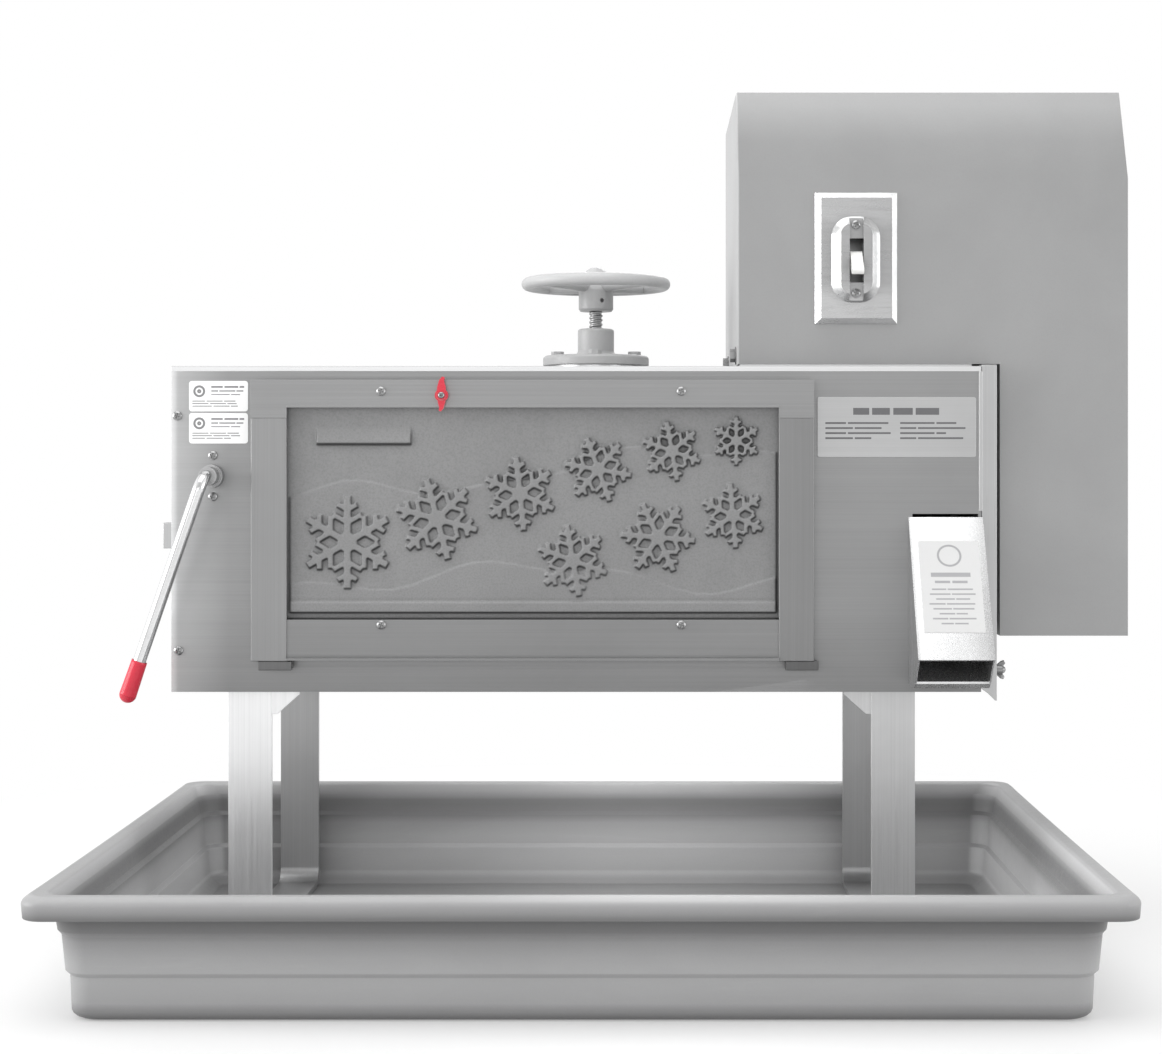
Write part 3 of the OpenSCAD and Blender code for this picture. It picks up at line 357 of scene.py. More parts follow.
# door guides: painted shade darkens the right guide, and a painted shadow darkens their lower ends
GUIDE_STEEL = brushed(
    "steel_door_frame", base=0.285, along="Z", rough=(0.34, 0.48), grain=0.6,
    shade=("X", (-0.29, 0.195), (1.08, 0.90)),
    tone=(("Z", ((0.240, 0.50), (0.2548, 0.56), (0.2552, 0.96), (0.30, 1.0))),))
# painted shade: darker low down, so the sill comes out darker than the top strip
SILL_STEEL = brushed("steel_sill", base=0.285, rough=(0.32, 0.46), grain=0.6,
                     shade=("Z", (0.24, 0.50), (0.90, 1.10)))
END_STEEL = brushed("steel_end_plate", base=0.52, along="Z", rough=(0.26, 0.4))
# legs: the left frame is a lighter copy with a painted reflection, and on both sides painted shade
# darkens the rear legs
LEFT_LEG_STEEL = brushed("steel_legs", base=0.88, along="Z", rough=(0.30, 0.46),
                         shade=("Y", (0.02, 0.12), (1.0, 0.56)))
RIGHT_LEG_STEEL = brushed("steel_legs_right", base=0.58, along="Z", rough=(0.30, 0.46),
                          grain=1.2, smudge=0.10, shade=("Y", (0.02, 0.12), (1.0, 0.90)))
# chute: painted shade on its left side wall and towards its right side
CHUTE_STEEL = brushed(
    "steel_chute", base=0.82, along="Z", rough=(0.20, 0.34), grain=0.5, smudge=0.03,
    tone=(("X", ((0.277, 0.62), (0.2795, 0.75), (0.2815, 1.0), (0.322, 1.0),
                 (0.335, 0.90), (0.344, 0.72))),))
PLATE_STEEL = brushed("steel_info_plate", base=0.49, rough=(0.3, 0.42), grain=0.6)
MOUNT_STEEL = brushed("steel_mount", base=0.74, rough=(0.3, 0.42), grain=0.5)
MACHINED = brushed("machined_steel", base=0.42, along="Y", rough=(0.28, 0.42), grain=0.8)
# painted shade in the screws' recesses and at the foot of their heads
ZINC = polished("zinc_fasteners", base=0.34, rough=0.26, painted_shade=0.9, reach=0.003)
CHROME = polished("chrome_plate", base=0.80, rough=0.10)
# switch plate: a painted reflection lightens its top and bottom zones, painted highlights brighten
# its side and top bevels, and painted shade darkens its lower bevel and its groove
SWITCH_STEEL = polished(
    "switch_plate_steel", base=0.40, rough=0.20, painted_shade=0.9, reach=0.010,
    tone=(("Z", ((0.545, 1.27), (0.573, 1.27), (0.586, 1.0), (0.632, 1.0),
                 (0.645, 1.22), (0.67, 1.22))),
          ("N.X", ((-1.0, 2.3), (-0.55, 2.25), (-0.25, 1.0), (0.25, 1.0),
                   (0.55, 2.5), (1.0, 2.5))),
          ("N.Z", ((-1.0, 0.68), (-0.5, 0.84), (-0.2, 1.0), (0.2, 1.0),
                   (0.5, 1.9), (1.0, 2.0)))))
# door: painted shade in corners and on downward and right-facing faces, and a slight painted
# highlight on upward and left-facing faces
DOOR_CAST = cast(
    "cast_aluminium_door", base=0.272, painted_shade=0.9, reach=0.0048,
    tone=(("N.Z", ((-1.0, 0.34), (-0.5, 0.48), (-0.12, 1.0), (0.3, 1.0), (1.0, 1.15))),
          ("N.X", ((-1.0, 1.12), (-0.3, 1.0), (0.15, 1.0), (0.6, 0.62), (1.0, 0.55)))))
# these cast parts also get painted shade in their corners
CASING_CAST = cast("cast_aluminium_casing", base=0.40, painted_shade=0.3)
IRON = cast("cast_iron_parts", base=0.16, metal=0.25, size=0.8)
# painted shade on the handwheel's hub under the rim, and a painted highlight on the rim's top
HAMMERED = enamel(
    "hammered_grey_enamel", grey(0.43), rough=0.36, hammer=0.35,
    tone=(("Z", ((0.545, 1.0), (0.570, 0.80), (0.5885, 0.90), (0.5925, 1.14),
                 (0.60, 1.20))),))
# housing: painted light on its left side wall and on its upward faces, such as the chamfer
HOUSING = enamel(
    "housing_grey_enamel", grey(0.316), rough=0.46, wear=0.2, peel_depth=0.10, metal=0.15,
    tone=(("X", ((0.1290, 1.7), (0.1312, 1.6), (0.1322, 1.0), (0.140, 1.0))),
          ("N.Z", ((-1.0, 1.0), (0.18, 1.0), (0.34, 1.16), (0.6, 1.14), (1.0, 1.08)))))
MOTOR = enamel("motor_enamel", grey(0.12), rough=0.4, peel_depth=0.15)
RED_PAINT = enamel("red_enamel", (0.62, 0.025, 0.05), rough=0.25, wear=0.5, peel_depth=0.08,
                   under=0.5)
# tray: painted shade in corners, low on the walls and in a dark band under the rim, a painted
# highlight on the rim's top, and painted light on the walls that face the middle
TRAY = plastic(
    "tray_plastic", (0.335, 0.335, 0.338), rough=0.42, texture=0.12, painted_shade=1.0,
    tone=(("Z", ((0.0, 0.72), (0.008, 0.80), (0.014, 1.12), (0.03, 1.08), (0.05, 0.95),
                 (0.062, 0.80), (0.070, 0.51), (0.080, 0.42), (0.0845, 0.44),
                 (0.088, 0.64), (0.094, 0.92), (0.1, 1.12))),
          ("IN", ((-0.46, 1.5), (-0.36, 1.5), (-0.28, 1.14), (-0.2, 1.14),
                  (-0.03, 1.0), (0.46, 1.0)))))
RED_VINYL = plastic("red_vinyl", (0.62, 0.028, 0.055), rough=0.30, texture=0.05, size=2.0)
WHITE = plastic("white_plastic", (0.82, 0.82, 0.80), rough=0.28, texture=0.04)
NYLON = plastic("natural_nylon", (0.66, 0.64, 0.58), rough=0.42, texture=0.06)
# painted shade: the chute's label, past x 0.15, is darker than the front labels
LABEL = plastic("white_label", (0.93, 0.93, 0.93), rough=0.38, texture=0.03, streak=0.02,
                shade=("X", (0.1, 0.15), (1.0, 0.68)))
LABEL_PRINT = plastic("label_print", (0.24, 0.24, 0.245), rough=0.45, texture=0.03,
                      streak=0.04)
CHUTE_PRINT = plastic("chute_print", (0.36, 0.36, 0.37), rough=0.45, texture=0.03,
                      streak=0.04)
PLATE_PRINT = plastic("plate_print", (0.13, 0.13, 0.135), rough=0.5, texture=0.04,
                      streak=0.04)
RUBBER = plastic("black_rubber", (0.03, 0.03, 0.032), rough=0.55, texture=0.15)


# ------------------------------------------------------------------ finishing the CAD nodes
def by_node(groups):
    """Turn (value, "node node ...") groups into a lookup from node to value."""
    return {node: value for value, nodes in groups for node in nodes.split()}


MATERIAL_OF = by_node((
    (TRAY, "drip_tray"),
    (FLOOR_STEEL, "cabinet_floor"),
    (BACK_STEEL, "cabinet_back"),
    (WALL_STEEL, "cabinet_left_wall cabinet_right_wall"),
    (TOP_STEEL, "cabinet_top"),
    (FRONT_STEEL, "front_panel"),
    (GUIDE_STEEL, "door_guide_left door_guide_right"),
    (SILL_STEEL, "door_top_strip door_sill"),
    (END_STEEL, "end_plate"),
    (LEFT_LEG_STEEL, "leg_frame_left"),
    (RIGHT_LEG_STEEL, "leg_frame_right"),
    (CHUTE_STEEL, "discharge_chute"),
    (PLATE_STEEL, "info_plate"),
    (MOUNT_STEEL, "motor_mount_plate"),
    (MACHINED, "lever_bearings return_spring switch_box lever_shaft pusher_spikes"
               " clamp_screw cutter_blades cutter_shaft motor_shaft"),
    (ZINC, "frame_screws leg_bolts lever_bearing_screws bearing_bolts wing_screw"
           " motor_bolts housing_bolts switch_screws"),
    (CHROME, "feed_lever"),
    (SWITCH_STEEL, "switch_plate"),
    (DOOR_CAST, "door_panel"),
    (CASING_CAST, "cutter_casing pusher_plate clamp_plate cutter_disc"),
    (IRON, "cutter_bearings pusher_arm cutter_pulley motor_pulley"),
    (HAMMERED, "clamp_flange flange_bolts handwheel"),
    (HOUSING, "belt_housing"),
    (MOTOR, "motor_body motor_end_bells"),
    (RED_PAINT, "door_latch"),
    (RED_VINYL, "lever_grip"),
    (WHITE, "switch_toggle"),
    (NYLON, "floor_rails arm_shoe"),
    (LABEL, "labels"),
    (RUBBER, "drive_belt power_cord cord_grommet"),
))
# width of the rounded edge on each CAD node, in mm
EDGE_WIDTH = by_node((
    (0.18, "switch_screws"),
    (0.22, "frame_screws lever_bearing_screws"),
    (0.25, "cutter_blades"),
    (0.3, "info_plate"),
    (0.4, "flange_bolts leg_bolts bearing_bolts motor_bolts housing_bolts switch_toggle"),
    (0.45, "discharge_chute"),
    (0.5, "front_panel cabinet_left_wall cabinet_right_wall cabinet_floor switch_plate"
          " wing_screw cord_grommet"),
    (0.6, "cabinet_back door_top_strip door_sill end_plate switch_box cutter_disc"
          " door_latch floor_rails"),
    (0.7, "cabinet_top"),
    (0.8, "clamp_flange cutter_casing lever_shaft pusher_plate clamp_plate handwheel"
          " cutter_pulley motor_pulley"),
    (0.9, "door_guide_left door_guide_right belt_housing"),
    (1.0, "lever_bearings motor_mount_plate pusher_arm cutter_bearings"),
    (1.2, "leg_frame_left leg_frame_right motor_body feed_lever"),
    (1.5, "motor_end_bells"),
))
# sheet parts whose long triangles are merged into whole faces before edges are rounded
SHEET_NODES = set(
    "front_panel door_top_strip door_sill door_guide_left door_guide_right cabinet_top"
    " cabinet_left_wall cabinet_right_wall cabinet_back end_plate leg_frame_left"
    " leg_frame_right discharge_chute belt_housing motor_mount_plate info_plate switch_box"
    " cabinet_floor labels".split())
SHARP_MITER_NODES = {"belt_housing", "cutter_disc", "cutter_blades"}


def round_edges(obj, width_mm):
    bevel = obj.modifiers.new("round", "BEVEL")
    bevel.width = width_mm * MM
    bevel.segments = 2
    bevel.limit_method = "ANGLE"
    bevel.angle_limit = math.radians(34)
    return bevel


def even_shading(obj):
    normals = obj.modifiers.new("shade", "WEIGHTED_NORMAL")
    normals.keep_sharp = False
    return normals


def finish_node(name, obj):
    obj.data.materials.clear()
    obj.data.materials.append(MATERIAL_OF[name])
    for face in obj.data.polygons:
        face.use_smooth = True
        face.material_index = 0
    if obj.data.has_custom_normals:
        bpy.context.view_layer.objects.active = obj
        obj.select_set(True)
        with bpy.context.temp_override(object=obj, active_object=obj, selected_objects=[obj]):
            bpy.ops.mesh.customdata_custom_splitnormals_clear()
        obj.select_set(False)
    weld = obj.modifiers.new("weld", "WELD")
    weld.merge_threshold = 1e-5
    if name in SHEET_NODES:
        merge = obj.modifiers.new("flat", "DECIMATE")
        merge.decimate_type = "DISSOLVE"
        merge.angle_limit = math.radians(0.6)
        merge.delimit = {"NORMAL"}
    if name in EDGE_WIDTH:
        bevel = round_edges(obj, EDGE_WIDTH[name])
        bevel.miter_outer = "MITER_SHARP" if name in SHARP_MITER_NODES else "MITER_ARC"
    even_shading(obj).weight = 80


for node_name, node_obj in NODES.items():
    finish_node(node_name, node_obj)


# ------------------------------------------------------------------ mesh helpers
def new_obj(name, verts, faces, material, slot, body="frame", smooth=True, replaces=None):
    mesh = bpy.data.meshes.new(name)
    mesh.from_pydata([tuple(v) for v in verts], [], faces)
    mesh.update()
    bm = bmesh.new()
    bm.from_mesh(mesh)
    bmesh.ops.recalc_face_normals(bm, faces=bm.faces)
    bm.to_mesh(mesh)
    bm.free()
    for face in mesh.polygons:
        face.use_smooth = smooth
    mesh.materials.append(material)
    obj = bpy.data.objects.new(name, mesh)
    bpy.context.scene.collection.objects.link(obj)
    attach(obj, body)
    if replaces:
        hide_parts(replaces)
    return obj


def skin(rings, start=0):
    """Faces over a stack of equal rings, numbered from vertex `start`, with both ends capped."""
    count = len(rings[0])
    faces = []
    for i in range(len(rings) - 1):
        low, high = start + i * count, start + (i + 1) * count
        for k in range(count):
            after = (k + 1) % count
            faces.append((low + k, low + after, high + after, high + k))
    last = start + (len(rings) - 1) * count
    faces.append(tuple(start + k for k in range(count))[::-1])
    faces.append(tuple(last + k for k in range(count)))
    return faces


def loft(name, rings, material, slot, **placing):
    verts = [v for ring in rings for v in ring]
    return new_obj(name, verts, skin(rings), material, slot, **placing)


def across(direction):
    """A unit vector square to the direction, leaning to +Z, or to +X if that is nearly along it."""
    up = Vector((0, 0, 1)) if abs(direction.z) < 0.9 else Vector((1, 0, 0))
    return (up - direction * up.dot(direction)).normalized()


def circle(centre_x, centre_y, z, radius, count):
    """Points round a level circle."""
    angles = [2 * math.pi * k / count for k in range(count)]
    return [(centre_x + radius * math.cos(a), centre_y + radius * math.sin(a), z)
            for a in angles]


def fillet(points, steps):
    """Round each inner corner of a polyline of (a, z, radius) points."""
    out = [points[0][:2]]
    for before, (a, z, radius), after in zip(points, points[1:], points[2:]):
        corner = Vector((a, z))
        back = Vector(before[:2]) - corner
        ahead = Vector(after[:2]) - corner
        back_length, ahead_length = back.length, ahead.length
        back.normalize()
        ahead.normalize()
        half = back.angle(ahead) / 2
        # never use more than about half of either side
        reach = min(radius / math.tan(half), back_length * 0.48, ahead_length * 0.48)
        fitted = reach * math.tan(half)
        centre = corner + (back + ahead).normalized() * (fitted / math.sin(half))
        from_centre = corner + back * reach - centre
        to_centre = corner + ahead * reach - centre
        start = math.atan2(from_centre.y, from_centre.x)
        end = math.atan2(to_centre.y, to_centre.x)
        while end - start > math.pi:
            end -= 2 * math.pi
        while end - start < -math.pi:
            end += 2 * math.pi
        for k in range(steps + 1):
            angle = start + (end - start) * k / steps
            out.append((centre.x + fitted * math.cos(angle),
                        centre.y + fitted * math.sin(angle)))
    out.append(points[-1][:2])
    return out


def rounded_rectangle(half_x, half_y, radius, arc_steps=8, side_steps=14):
    """Points round a rounded rectangle, anticlockwise."""
    arcs = []
    for q, (sign_x, sign_y) in enumerate(((1, 1), (-1, 1), (-1, -1), (1, -1))):
        centre_x, centre_y = sign_x * (half_x - radius), sign_y * (half_y - radius)
        angles = [q * math.pi / 2 + k * math.pi / 2 / arc_steps for k in range(arc_steps + 1)]
        arcs.append([(centre_x + radius * math.cos(a), centre_y + radius * math.sin(a))
                     for a in angles])
    points = []
    for q, arc in enumerate(arcs):
        (x0, y0), (x1, y1) = arc[-1], arcs[(q + 1) % 4][0]
        points += arc
        for k in range(1, side_steps):
            f = k / side_steps
            points.append((x0 * (1 - f) + x1 * f, y0 * (1 - f) + y1 * f))
    return points


def tube(name, path, radius, material, slot, count, replaces):
    """A round tube along a list of points, its rings carried along without twisting."""
    points = [Vector(p) for p in path]
    last = len(points) - 1
    side = across((points[1] - points[0]).normalized())
    rings = []
    for i, point in enumerate(points):
        along = (points[min(i + 1, last)] - points[max(i - 1, 0)]).normalized()
        side = (side - along * side.dot(along)).normalized()
        other = along.cross(side)
        angles = [2 * math.pi * k / count for k in range(count)]
        rings.append([point + (side * math.cos(a) + other * math.sin(a)) * radius
                      for a in angles])
    return loft(name, rings, material, slot, replaces=replaces)


def smooth_path(path, steps):
    """Catmull-Rom curve through the points."""
    points = [Vector(p) for p in path]
    last = len(points) - 1
    out = []
    for i in range(last):
        p0, p1, p2, p3 = (points[min(max(j, 0), last)] for j in range(i - 1, i + 3))
        for k in range(steps):
            t = k / steps
            out.append(0.5 * ((2 * p1) + (p2 - p0) * t
                              + (2 * p0 - 5 * p1 + 4 * p2 - p3) * t * t
                              + (3 * p1 - p0 - 3 * p2 + p3) * t ** 3))
    out.append(points[-1])
    return out


def boxes(name, blocks, material, slot, place=Matrix.Identity(4)):
    """One mesh of separate blocks (x0, x1, y0, y1, z0, z1), moved by `place`."""
    sides = ((0, 1, 3, 2), (4, 6, 7, 5), (0, 4, 5, 1), (2, 3, 7, 6), (0, 2, 6, 4), (1, 5, 7, 3))
    verts, faces = [], []
    for x0, x1, y0, y1, z0, z1 in blocks:
        first = len(verts)
        verts += [place @ Vector((x, y, z)) for z in (z0, z1) for y in (y0, y1)
                  for x in (x0, x1)]
        faces += [tuple(first + i for i in side) for side in sides]
    return new_obj(name, verts, faces, material, slot, smooth=False)


def flat_ring(name, place, radii, depths, count, material):
    """A thin flat ring; place(across, up, depth) puts each of its points."""
    verts, faces = [], []
    for k in range(count):
        angle = 2 * math.pi * k / count
        for radius in radii:
            for depth in depths:
                verts.append(place(radius * math.cos(angle), radius * math.sin(angle), depth))
    for k in range(count):
        b, c = 4 * k, 4 * ((k + 1) % count)
        faces += [(b + 1, b + 3, c + 3, c + 1), (b, c, c + 2, b + 2),
                  (b + 2, c + 2, c + 3, b + 3), (b, b + 1, c + 1, c)]
    return new_obj(name, verts, faces, material, "label_vinyl", smooth=False)


# ------------------------------------------------------------------ drip tray
TRAY_HEIGHT = 0.101  # height the section is drawn to; it is stretched to the CAD tray's
TRAY_BOW = 0.0011    # how far the long walls bow in at the rim

# inset from the rim's outer face, height, fillet radius, corner radius in plan (mm):
# from under the floor up the outside, over the rim and down the inside
TRAY_SECTION = [
    (62, 1.2, 0, 10), (46, 0.0, 1, 14), (31, 0.0, 9, 20), (28.6, 34, 1.5, 21),
    (25.6, 37.5, 1.5, 22), (23.1, 66, 1.5, 22), (20.4, 69.5, 1.5, 24), (18.2, 86.0, 3, 25),
    (3.6, 85.1, 1.5, 17), (2.6, 82.7, 0.8, 18), (0.9, 82.7, 0.8, 18), (0.0, 96.5, 5.5, 18),
    (6.0, 101.0, 3.5, 17), (16.5, 100.2, 5.0, 18), (21.0, 90.0, 4, 22),
    (24.4, 73.5, 1.5, 20), (27.6, 70.0, 1.5, 19), (29.4, 41.5, 1.5, 18),
    (32.8, 38.0, 1.5, 16), (35.2, 12.0, 8, 14), (48, 4.0, 6, 12), (64, 4.0, 0, 8),
]


def tray_corner_radius(inset, height):
    """Plan corner radius (mm), blended from the two nearest points of the section."""
    near = sorted((math.hypot(inset - a, height - z), corner)
                  for a, z, _, corner in TRAY_SECTION)[:2]
    w0, w1 = (1 / (distance + 0.5) for distance, _ in near)
    return (near[0][1] * w0 + near[1][1] * w1) / (w0 + w1)


def make_tray():
    lo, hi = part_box("drip_tray")
    mid_x, mid_y = (lo.x + hi.x) / 2, (lo.y + hi.y) / 2
    stretch = hi.z / TRAY_HEIGHT
    rings = []
    for inset, height in fillet([point[:3] for point in TRAY_SECTION], steps=4):
        z = height * MM * stretch
        bow = TRAY_BOW * (z / hi.z)
        ring = []
        for x, y in rounded_rectangle(hi.x - inset * MM, hi.y - inset * MM,
                                      tray_corner_radius(inset, height) * MM):
            # walls bow in slightly between the corners, as moulded tubs do
            fx, fy = x / hi.x, y / hi.y
            on_end = abs(fx) > 0.86 and abs(fy) < 0.9
            on_side = abs(fy) > 0.80 and abs(fx) < 0.93
            bowed_x = x - math.copysign(bow * (1 - fy * fy), x) if on_end else x
            bowed_y = y - math.copysign(bow * (1 - fx * fx), y) if on_side else y
            ring.append((bowed_x + mid_x, bowed_y + mid_y, z))
        rings.append(ring)
    even_shading(loft("tray_shell", rings, TRAY, "tray_plastic", replaces="drip_tray"))


# ------------------------------------------------------------------ small fasteners
COVER_SCREW_RADIUS = 0.0036
LATCH_SCREW_RADIUS = 0.0029
BACK_FACE_Y = 0.2525  # where the back cover's screw heads sit

# height and radius of a head's rings, as parts of its radius: rim, dome, then recess
HEAD_PROFILE = [(0.0, 1.0), (0.22, 1.0), (0.40, 0.90), (0.52, 0.70), (0.57, 0.46),
                (0.58, 0.40), (0.30, 0.34), (0.22, 0.12)]
RECESS_RADIUS = 0.45  # rings smaller than this are pulled into a cross


def screw_heads(name, places, radius, body, slot):
    """Low domed heads with a cross recess. places: (point on the surface, outward)."""
    count = 28
    verts, faces = [], []
    for point, outward in places:
        outward = Vector(outward)
        side = across(outward)
        other = outward.cross(side)
        origin = Vector(point)
        rings = []
        for height, size in HEAD_PROFILE:
            ring = []
            for k in range(count):
                angle = 2 * math.pi * k / count + 0.5
                reach = size
                if size < RECESS_RADIUS:
                    reach = size * (0.45 + 0.95 * abs(math.cos(2 * angle)) ** 3)
                turned = side * math.cos(angle) + other * math.sin(angle)
                ring.append(origin + outward * height * radius + turned * radius * reach)
            rings.append(ring)
        faces += skin(rings, start=len(verts))
        verts += [v for ring in rings for v in ring]
    new_obj(name, verts, faces, ZINC, slot, body=body)


def make_fasteners():
    latch_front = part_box("door_latch")[0].y
    screw_heads("latch_screw", [((-0.1274, latch_front, 0.4794 + DATUM_Z), (0, -1, 0))],
                LATCH_SCREW_RADIUS, "latch", "red_paint")

    back_lo, back_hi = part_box("cabinet_back")
    wall_lo, wall_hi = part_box("cabinet_left_wall")
    house_lo, house_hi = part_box("belt_housing")
    end_xs = (-0.345, 0.322)
    back = [(x, BACK_FACE_Y, z) for x in (end_xs[0], -0.18, 0.0, 0.24, end_xs[1])
            for z in (back_lo.z + 0.012, back_hi.z - 0.016)]
    back += [(x, BACK_FACE_Y, (back_lo.z + back_hi.z) / 2 - 0.045) for x in end_xs]
    left = [(wall_lo.x, y, z) for y in (0.03, 0.13, 0.22)
            for z in (wall_lo.z + 0.014, wall_hi.z - 0.018)]
    house_back = [(x, house_hi.y, house_hi.z - 0.014) for x in (0.150, 0.300, 0.450)]
    house_back += [(x, house_hi.y, house_lo.z + 0.014) for x in (0.380, 0.455)]
    house_right = [(house_hi.x, y, house_hi.z - 0.016) for y in (0.075, 0.160, 0.245)]
    house_right += [(house_hi.x, y, house_lo.z + 0.016) for y in (0.040, 0.140, 0.240)]
    groups = ((back, (0, 1, 0)), (left, (-1, 0, 0)), (house_back, (0, 1, 0)),
              (house_right, (1, 0, 0)))
    places = [(point, outward) for points, outward in groups for point in points]
    screw_heads("cover_screws", places, COVER_SCREW_RADIUS, "frame", "fasteners")


# ------------------------------------------------------------------ cast door
def make_door():
    """The CAD door remeshed finely and smoothed, so its edges soften like a casting's."""
    mesh = bpy.data.meshes.new("door_casting")
    bm = bmesh.new()
    bm.from_mesh(NODES["door_panel"].data)
    bmesh.ops.remove_doubles(bm, verts=bm.verts, dist=1e-5)
    bm.to_mesh(mesh)
    bm.free()
    door = bpy.data.objects.new("door_casting", mesh)
    bpy.context.scene.collection.objects.link(door)
    remesh = door.modifiers.new("r", "REMESH")
    remesh.mode = "VOXEL"
    remesh.voxel_size = 0.00092
    remesh.adaptivity = 0.0
    smooth = door.modifiers.new("s", "SMOOTH")
    smooth.factor = 0.5
    smooth.iterations = 2
    evaluated = door.evaluated_get(bpy.context.evaluated_depsgraph_get())
    casting = bpy.data.meshes.new_from_object(evaluated)
    door.modifiers.clear()
    door.data = casting
    casting.name = "door_casting"
    # keep the casting inside the CAD plate's faces
    lo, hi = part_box("door_panel")
    for vert in casting.vertices:
        for axis in range(3):
            vert.co[axis] = min(max(vert.co[axis], lo[axis]), hi[axis])
    for face in casting.polygons:
        face.use_smooth = True
    casting.materials.clear()
    casting.materials.append(DOOR_CAST)
    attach(door, "door")
    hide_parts("door_panel")


# ------------------------------------------------------------------ threaded clamp screw
THREAD_PITCH = 0.004
THREAD_DEPTH = 0.0011
THREAD_STEPS = 8        # rings per turn
SCREW_CHAMFER = 0.0008  # how far the end faces are inside the thread's root
SCREW_LEAD = 0.002      # plain length at each end


def make_screw():
    lo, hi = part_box("clamp_screw")
    centre_x, centre_y = (lo.x + hi.x) / 2, (lo.y + hi.y) / 2
    root = (hi.x - lo.x) / 2 - THREAD_DEPTH
    count = 36
    step = THREAD_PITCH / THREAD_STEPS
    ends = [circle(centre_x, centre_y, z, root - SCREW_CHAMFER, count) for z in (lo.z, hi.z)]
    rings = []
    for i in range(int((hi.z - lo.z - 2 * SCREW_LEAD) / step) + 1):
        z = lo.z + SCREW_LEAD + i * step
        ring = []
        for k in range(count):
            angle = 2 * math.pi * k / count
            phase = ((z / THREAD_PITCH) - angle / (2 * math.pi)) % 1.0
            # flanks rise up to phase 0.15 and fall from 0.5 to 0.65
            crest = max(0.0, min(1.0, phase / 0.15, (0.65 - phase) / 0.15))
            radius = root + THREAD_DEPTH * crest
            ring.append((centre_x + radius * math.cos(angle),
                         centre_y + radius * math.sin(angle), z))
        rings.append(ring)
    loft("threaded_screw", [ends[0]] + rings + [ends[1]], MACHINED, "steel_parts",
         body="clamp_wheel", replaces="clamp_screw")


# ------------------------------------------------------------------ return spring
SPRING_WIRE = 0.0016                    # wire radius
SPRING_X, SPRING_Z = -0.3286, 0.4094 + DATUM_Z
SPRING_Y0, SPRING_Y1 = 0.170, 0.1917    # ends of the coil along its axis
SPRING_TURNS, TURN_STEPS = 7, 20


def make_spring():
    lo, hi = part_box("return_spring")
    radius = (hi.x - lo.x) / 2 - SPRING_WIRE
    side_x = SPRING_X + radius
    steps = SPRING_TURNS * TURN_STEPS
    path = [(side_x, SPRING_Y0 - 0.0002, SPRING_Z - 0.014), (side_x, SPRING_Y0, SPRING_Z - 0.006)]
    for i in range(steps + 1):
        angle = 2 * math.pi * i / TURN_STEPS
        path.append((SPRING_X + radius * math.cos(angle),
                     SPRING_Y0 + (SPRING_Y1 - SPRING_Y0) * i / steps,
                     SPRING_Z + radius * math.sin(angle)))
    path += [(side_x, SPRING_Y1, SPRING_Z + 0.006), (side_x, SPRING_Y1, SPRING_Z + 0.014)]
    tube("wound_spring", path, SPRING_WIRE, MACHINED, "steel_parts", 10, "return_spring")


# ------------------------------------------------------------------ power cord
# Heights here are above the machine's datum. The cord hangs coiled behind the cabinet.
CORD_RADIUS = 0.0038
COIL_X, COIL_Z = 0.150, 0.380
COIL_RADII = (0.0585, 0.0565, 0.0600)  # one for each turn
COIL_STEPS = 26
COIL_STRETCH = 0.031  # how far the coil's halves are pulled apart, up and down
COIL_Y = 0.2745       # where the coil starts
COIL_PITCH = 0.0078
WALL_CLEAR_Y = 0.2572  # nearest the cord's centre comes to the back wall
CORD_START = [(0.250, 0.258, 0.540), (0.250, 0.270, 0.5395), (0.2502, 0.2785, 0.532),
              (0.2508, 0.2800, 0.505), (0.2512, 0.2790, 0.470), (0.250, 0.2780, 0.440)]
CORD_TAIL = [(0.176, 0.2625, 0.330), (0.160, 0.2665, 0.306), (0.151, 0.2688, 0.286),
             (0.150, 0.269, 0.262)]
PLUG_X, PLUG_Y, PLUG_Z = 0.150, 0.269, 0.222
# height above the plug's lower face, radius
PLUG_PROFILE = [(0, 0.0124), (0.001, 0.0137), (0.010, 0.0142), (0.020, 0.0130),
                (0.026, 0.0098)]
RELIEF_RIBS, RIB_PITCH = 5, 0.0036


def make_cord():
    path = list(CORD_START)
    for turn, turn_radius in enumerate(COIL_RADII):
        for i in range(COIL_STEPS):
            a = math.radians(40) - 2 * math.pi * i / COIL_STEPS
            radius = turn_radius + 0.0012 * math.sin(3 * a + turn * 2.1)
            stretch = COIL_STRETCH if math.sin(a) > 0 else -COIL_STRETCH
            x = COIL_X + radius * math.cos(a)
            z = COIL_Z + radius * math.sin(a) + stretch * min(1, abs(math.sin(a)) * 3)
            y = COIL_Y - COIL_PITCH * (turn + i / COIL_STEPS) + 0.0006 * math.sin(5 * a + turn)
            path.append((x, y, z))
    path += CORD_TAIL
    points = [Vector((p.x, max(p.y, WALL_CLEAR_Y) if p.z < 0.50 else p.y, p.z + DATUM_Z))
              for p in smooth_path(path, steps=5)]
    tube("mains_cord", points, CORD_RADIUS, RUBBER, "black_rubber", 12, "power_cord")


